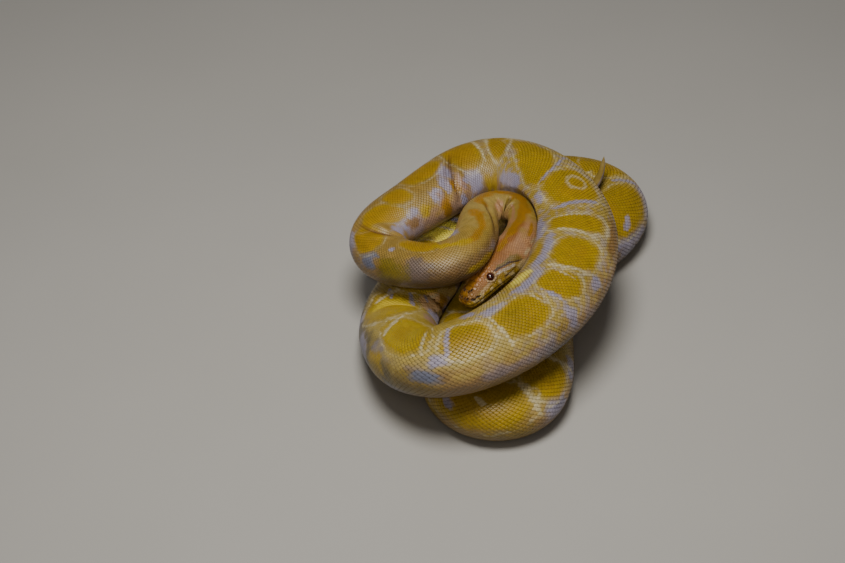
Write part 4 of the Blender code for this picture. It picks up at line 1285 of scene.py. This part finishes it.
def plate_faces():
    """The faces of one domed plate: rings of quads, and a fan above and below."""
    ring = np.arange(PLATE_CORNERS)
    after = (ring + 1) % PLATE_CORNERS
    quads, last = [], len(PLATE_RINGS) - 1
    for k in range(last):
        low, high = k * PLATE_CORNERS, (k + 1) * PLATE_CORNERS
        quads.append(np.stack([low + ring, low + after, high + after, high + ring], axis=1))
    top, bottom = (last + 1) * PLATE_CORNERS, (last + 1) * PLATE_CORNERS + 1
    upper = np.stack([last * PLATE_CORNERS + ring, last * PLATE_CORNERS + after,
                      np.full(PLATE_CORNERS, top)], axis=1)
    lower = np.stack([after, ring, np.full(PLATE_CORNERS, bottom)], axis=1)
    return np.concatenate(quads), np.concatenate([upper, lower])


# ================================================================ finishes
class Wire:
    """A value in a finish: arithmetic on it adds Math nodes."""

    def __init__(self, finish, socket):
        self.finish, self.socket = finish, socket

    def math(self, operation, first, second):
        return self.finish.node("ShaderNodeMath", {"operation": operation}, {0: first, 1: second})

    def __add__(self, other):
        return self.math("ADD", self, other)

    def __sub__(self, other):
        return self.math("SUBTRACT", self, other)

    def __rsub__(self, other):
        return self.math("SUBTRACT", other, self)

    def __mul__(self, other):
        return self.math("MULTIPLY", self, other)

    def __truediv__(self, other):
        return self.math("DIVIDE", self, other)

    def __pow__(self, other):
        return self.math("POWER", self, other)

    __radd__ = __add__
    __rmul__ = __mul__


class Finish:
    """A node material, its constant settings, and the one way its nodes are made."""

    def __init__(self, name, **constants):
        self.material = bpy.data.materials.new(name)
        self.material.use_nodes = True
        self.tree = self.material.node_tree
        self.shader = self.tree.nodes["Principled BSDF"]
        for socket, value in constants.items():
            self.shader.inputs[socket.replace("_", " ")].default_value = value

    def node(self, kind, settings=None, inputs=None, output=0):
        made = self.tree.nodes.new(kind)
        for setting, value in (settings or {}).items():
            if setting == "stops":
                self.set_stops(made.color_ramp, value)
            else:
                setattr(made, setting, value)
        for socket, value in (inputs or {}).items():
            self.feed(made.inputs[socket], value)
        return Wire(self, made.outputs[output])

    @staticmethod
    def set_stops(ramp, stops):
        while len(ramp.elements) > len(stops):
            ramp.elements.remove(ramp.elements[-1])
        for k, (place, colour) in enumerate(stops):
            stop = ramp.elements[k] if k < len(ramp.elements) else ramp.elements.new(place)
            stop.position, stop.color = place, (*colour, 1)

    def feed(self, socket, value):
        if isinstance(value, Wire):
            self.tree.links.new(value.socket, socket)
        else:
            socket.default_value = value

    def wear(self, **inputs):
        for socket, value in inputs.items():
            self.feed(self.shader.inputs[socket.replace("_", " ")], value)

    def mix(self, amount, first, second, blend="MIX"):
        """Two colours mixed by an amount from 0 to 1."""
        rgba = [(*colour, 1) if isinstance(colour, tuple) else colour for colour in (first, second)]
        inputs = {0: amount, 6: rgba[0], 7: rgba[1]}
        return self.node("ShaderNodeMix", {"data_type": "RGBA", "blend_type": blend}, inputs, output=2)

    def noise(self, size, detail=3.0, roughness=0.5):
        place = self.node("ShaderNodeTexCoord", output=3)
        inputs = {"Vector": place, "Scale": 1 / size, "Detail": detail, "Roughness": roughness}
        return self.node("ShaderNodeTexNoise", {"noise_dimensions": "3D"}, inputs)

    def step(self, value, low, high):
        return self.node("ShaderNodeMapRange", {"interpolation_type": "SMOOTHSTEP"},
                         {0: value, 1: low, 2: high})


def scale_finish(name, rough, gloss):
    """Snake scales: the markings, darker colour towards each rim, a fine mottle and a satin gloss."""
    finish = Finish(name, Coat_Weight=gloss, Coat_Roughness=0.30, Specular_IOR_Level=0.45)
    paint = finish.node("ShaderNodeAttribute", {"attribute_name": "markings"})
    inner = finish.node("ShaderNodeAttribute", {"attribute_name": "markings"}, output=3)
    mottle = finish.noise(0.0011)
    patchy = finish.noise(0.010, 4.0)
    clouded = finish.mix(finish.step(patchy, 0.35, 0.70) * 0.30, paint, (0.80, 0.66, 0.42), "SOFT_LIGHT")
    speckled = finish.mix(finish.step(mottle, 0.50, 0.72) * 0.28, clouded, (0.55, 0.36, 0.16), "MULTIPLY")
    rimmed = finish.mix((1 - finish.step(inner, 0.0, 0.55)) * RIM_SHADE, speckled, RIM_TINT, "MULTIPLY")
    grain = finish.noise(0.00045, 2.0)
    bump = finish.node("ShaderNodeBump",
                       inputs={"Strength": 0.35, "Distance": 0.00012, "Height": grain + mottle * 0.6})
    finish.wear(Base_Color=rimmed, Roughness=rough + patchy * 0.12 + mottle * 0.10, Normal=bump)
    return finish


def eye_finish():
    """A dark red albino eye with an upright slit and a wet cover."""
    finish = Finish("wet_eye", Coat_Weight=1.0, Coat_Roughness=0.03, Specular_IOR_Level=0.6)
    gaze = finish.node("ShaderNodeAttribute", {"attribute_name": "gaze"}, output=1)
    parts = {axis: finish.node("ShaderNodeSeparateXYZ", inputs={0: gaze}, output=k)
             for k, axis in enumerate("xyz")}
    ellipse = (parts["x"] * 5.2) ** 2.0 + (parts["y"] * 1.9) ** 2.0
    slit = 1 - finish.step(ellipse, 0.80, 1.15)
    rim = finish.step(parts["x"] ** 2.0 + parts["y"] ** 2.0, 0.40, 0.75)
    flecks = finish.noise(0.0005, 4.0)
    iris = finish.mix(finish.step(flecks, 0.35, 0.70), (0.040, 0.006, 0.004), (0.090, 0.016, 0.008))
    iris = finish.mix(rim, iris, (0.016, 0.003, 0.003))
    finish.wear(Base_Color=finish.mix(slit, iris, (0.004, 0.001, 0.001)), Roughness=0.10 + flecks * 0.06)
    return finish


def floor_finish():
    finish = Finish("pale_floor", Specular_IOR_Level=0.2)
    cloud = finish.noise(0.20, 5.0)
    finish.wear(Base_Color=finish.mix(cloud, (0.50, 0.49, 0.47), (0.54, 0.53, 0.51)),
                Roughness=0.75 + cloud * 0.10)
    return finish


# ================================================================ floor, light and camera
def add_floor():
    bpy.ops.object.select_all(action="DESELECT")
    bpy.ops.mesh.primitive_plane_add(size=FLOOR_SIZE)
    floor = bpy.context.object
    floor.name = "floor"
    floor.data.materials.append(floor_finish().material)


def add_light(name, place, aim, size, watts, tint):
    lamp = bpy.data.lights.new(name, "AREA")
    lamp.shape = "DISK"
    lamp.size, lamp.energy, lamp.color = size, watts, tint
    light = bpy.data.objects.new(name, lamp)
    light.location = place
    light.rotation_euler = (Vector(aim) - Vector(place)).to_track_quat("-Z", "Y").to_euler()
    bpy.context.scene.collection.objects.link(light)


def add_spot(place, aim, cone, watts):
    """A soft pool of light that reaches in between the coils from the viewer's side."""
    lamp = bpy.data.lights.new("spot", "SPOT")
    lamp.spot_size, lamp.spot_blend, lamp.shadow_soft_size, lamp.energy = cone, 1.0, 0.08, watts
    light = bpy.data.objects.new("spot", lamp)
    light.location = place
    light.rotation_euler = (Vector(aim) - Vector(place)).to_track_quat("-Z", "Y").to_euler()
    bpy.context.scene.collection.objects.link(light)


def add_camera():
    lens = bpy.data.cameras.new("camera")
    lens.lens, lens.sensor_width = LENS, SENSOR
    camera = bpy.data.objects.new("camera", lens)
    camera.location = CAMERA_PLACE
    camera.rotation_euler = (math.radians(CAMERA_TILT), 0, 0)
    bpy.context.scene.collection.objects.link(camera)
    bpy.context.scene.camera = camera


def add_stage():
    add_floor()
    for light in LIGHTS:
        add_light(*light)
    add_spot(*SPOT)
    world = bpy.data.worlds.new("studio")
    world.use_nodes = True
    world.node_tree.nodes["Background"].inputs["Color"].default_value = SKY
    world.node_tree.nodes["Background"].inputs["Strength"].default_value = AMBIENT
    bpy.context.scene.world = world
    add_camera()


def main():
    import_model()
    body = Body()
    markings = Markings(body)
    eyes = [Eye(body, "eye_left", 1), Eye(body, "eye_right", -1)]
    scales = scale_finish("scaly_skin", 0.35, 0.26)
    add_skin(body, markings, scale_finish("skin_between", 0.50, 0.0), eyes)
    add_scales(body, markings, scales)
    add_belly(body, markings, scales)
    add_head_plates(body, markings, scale_finish("head_scales", 0.33, 0.30), eyes)
    wet = eye_finish()
    for eye, side in zip(eyes, (1, -1)):
        add_eye(eye, side, wet)
    add_stage()


main()
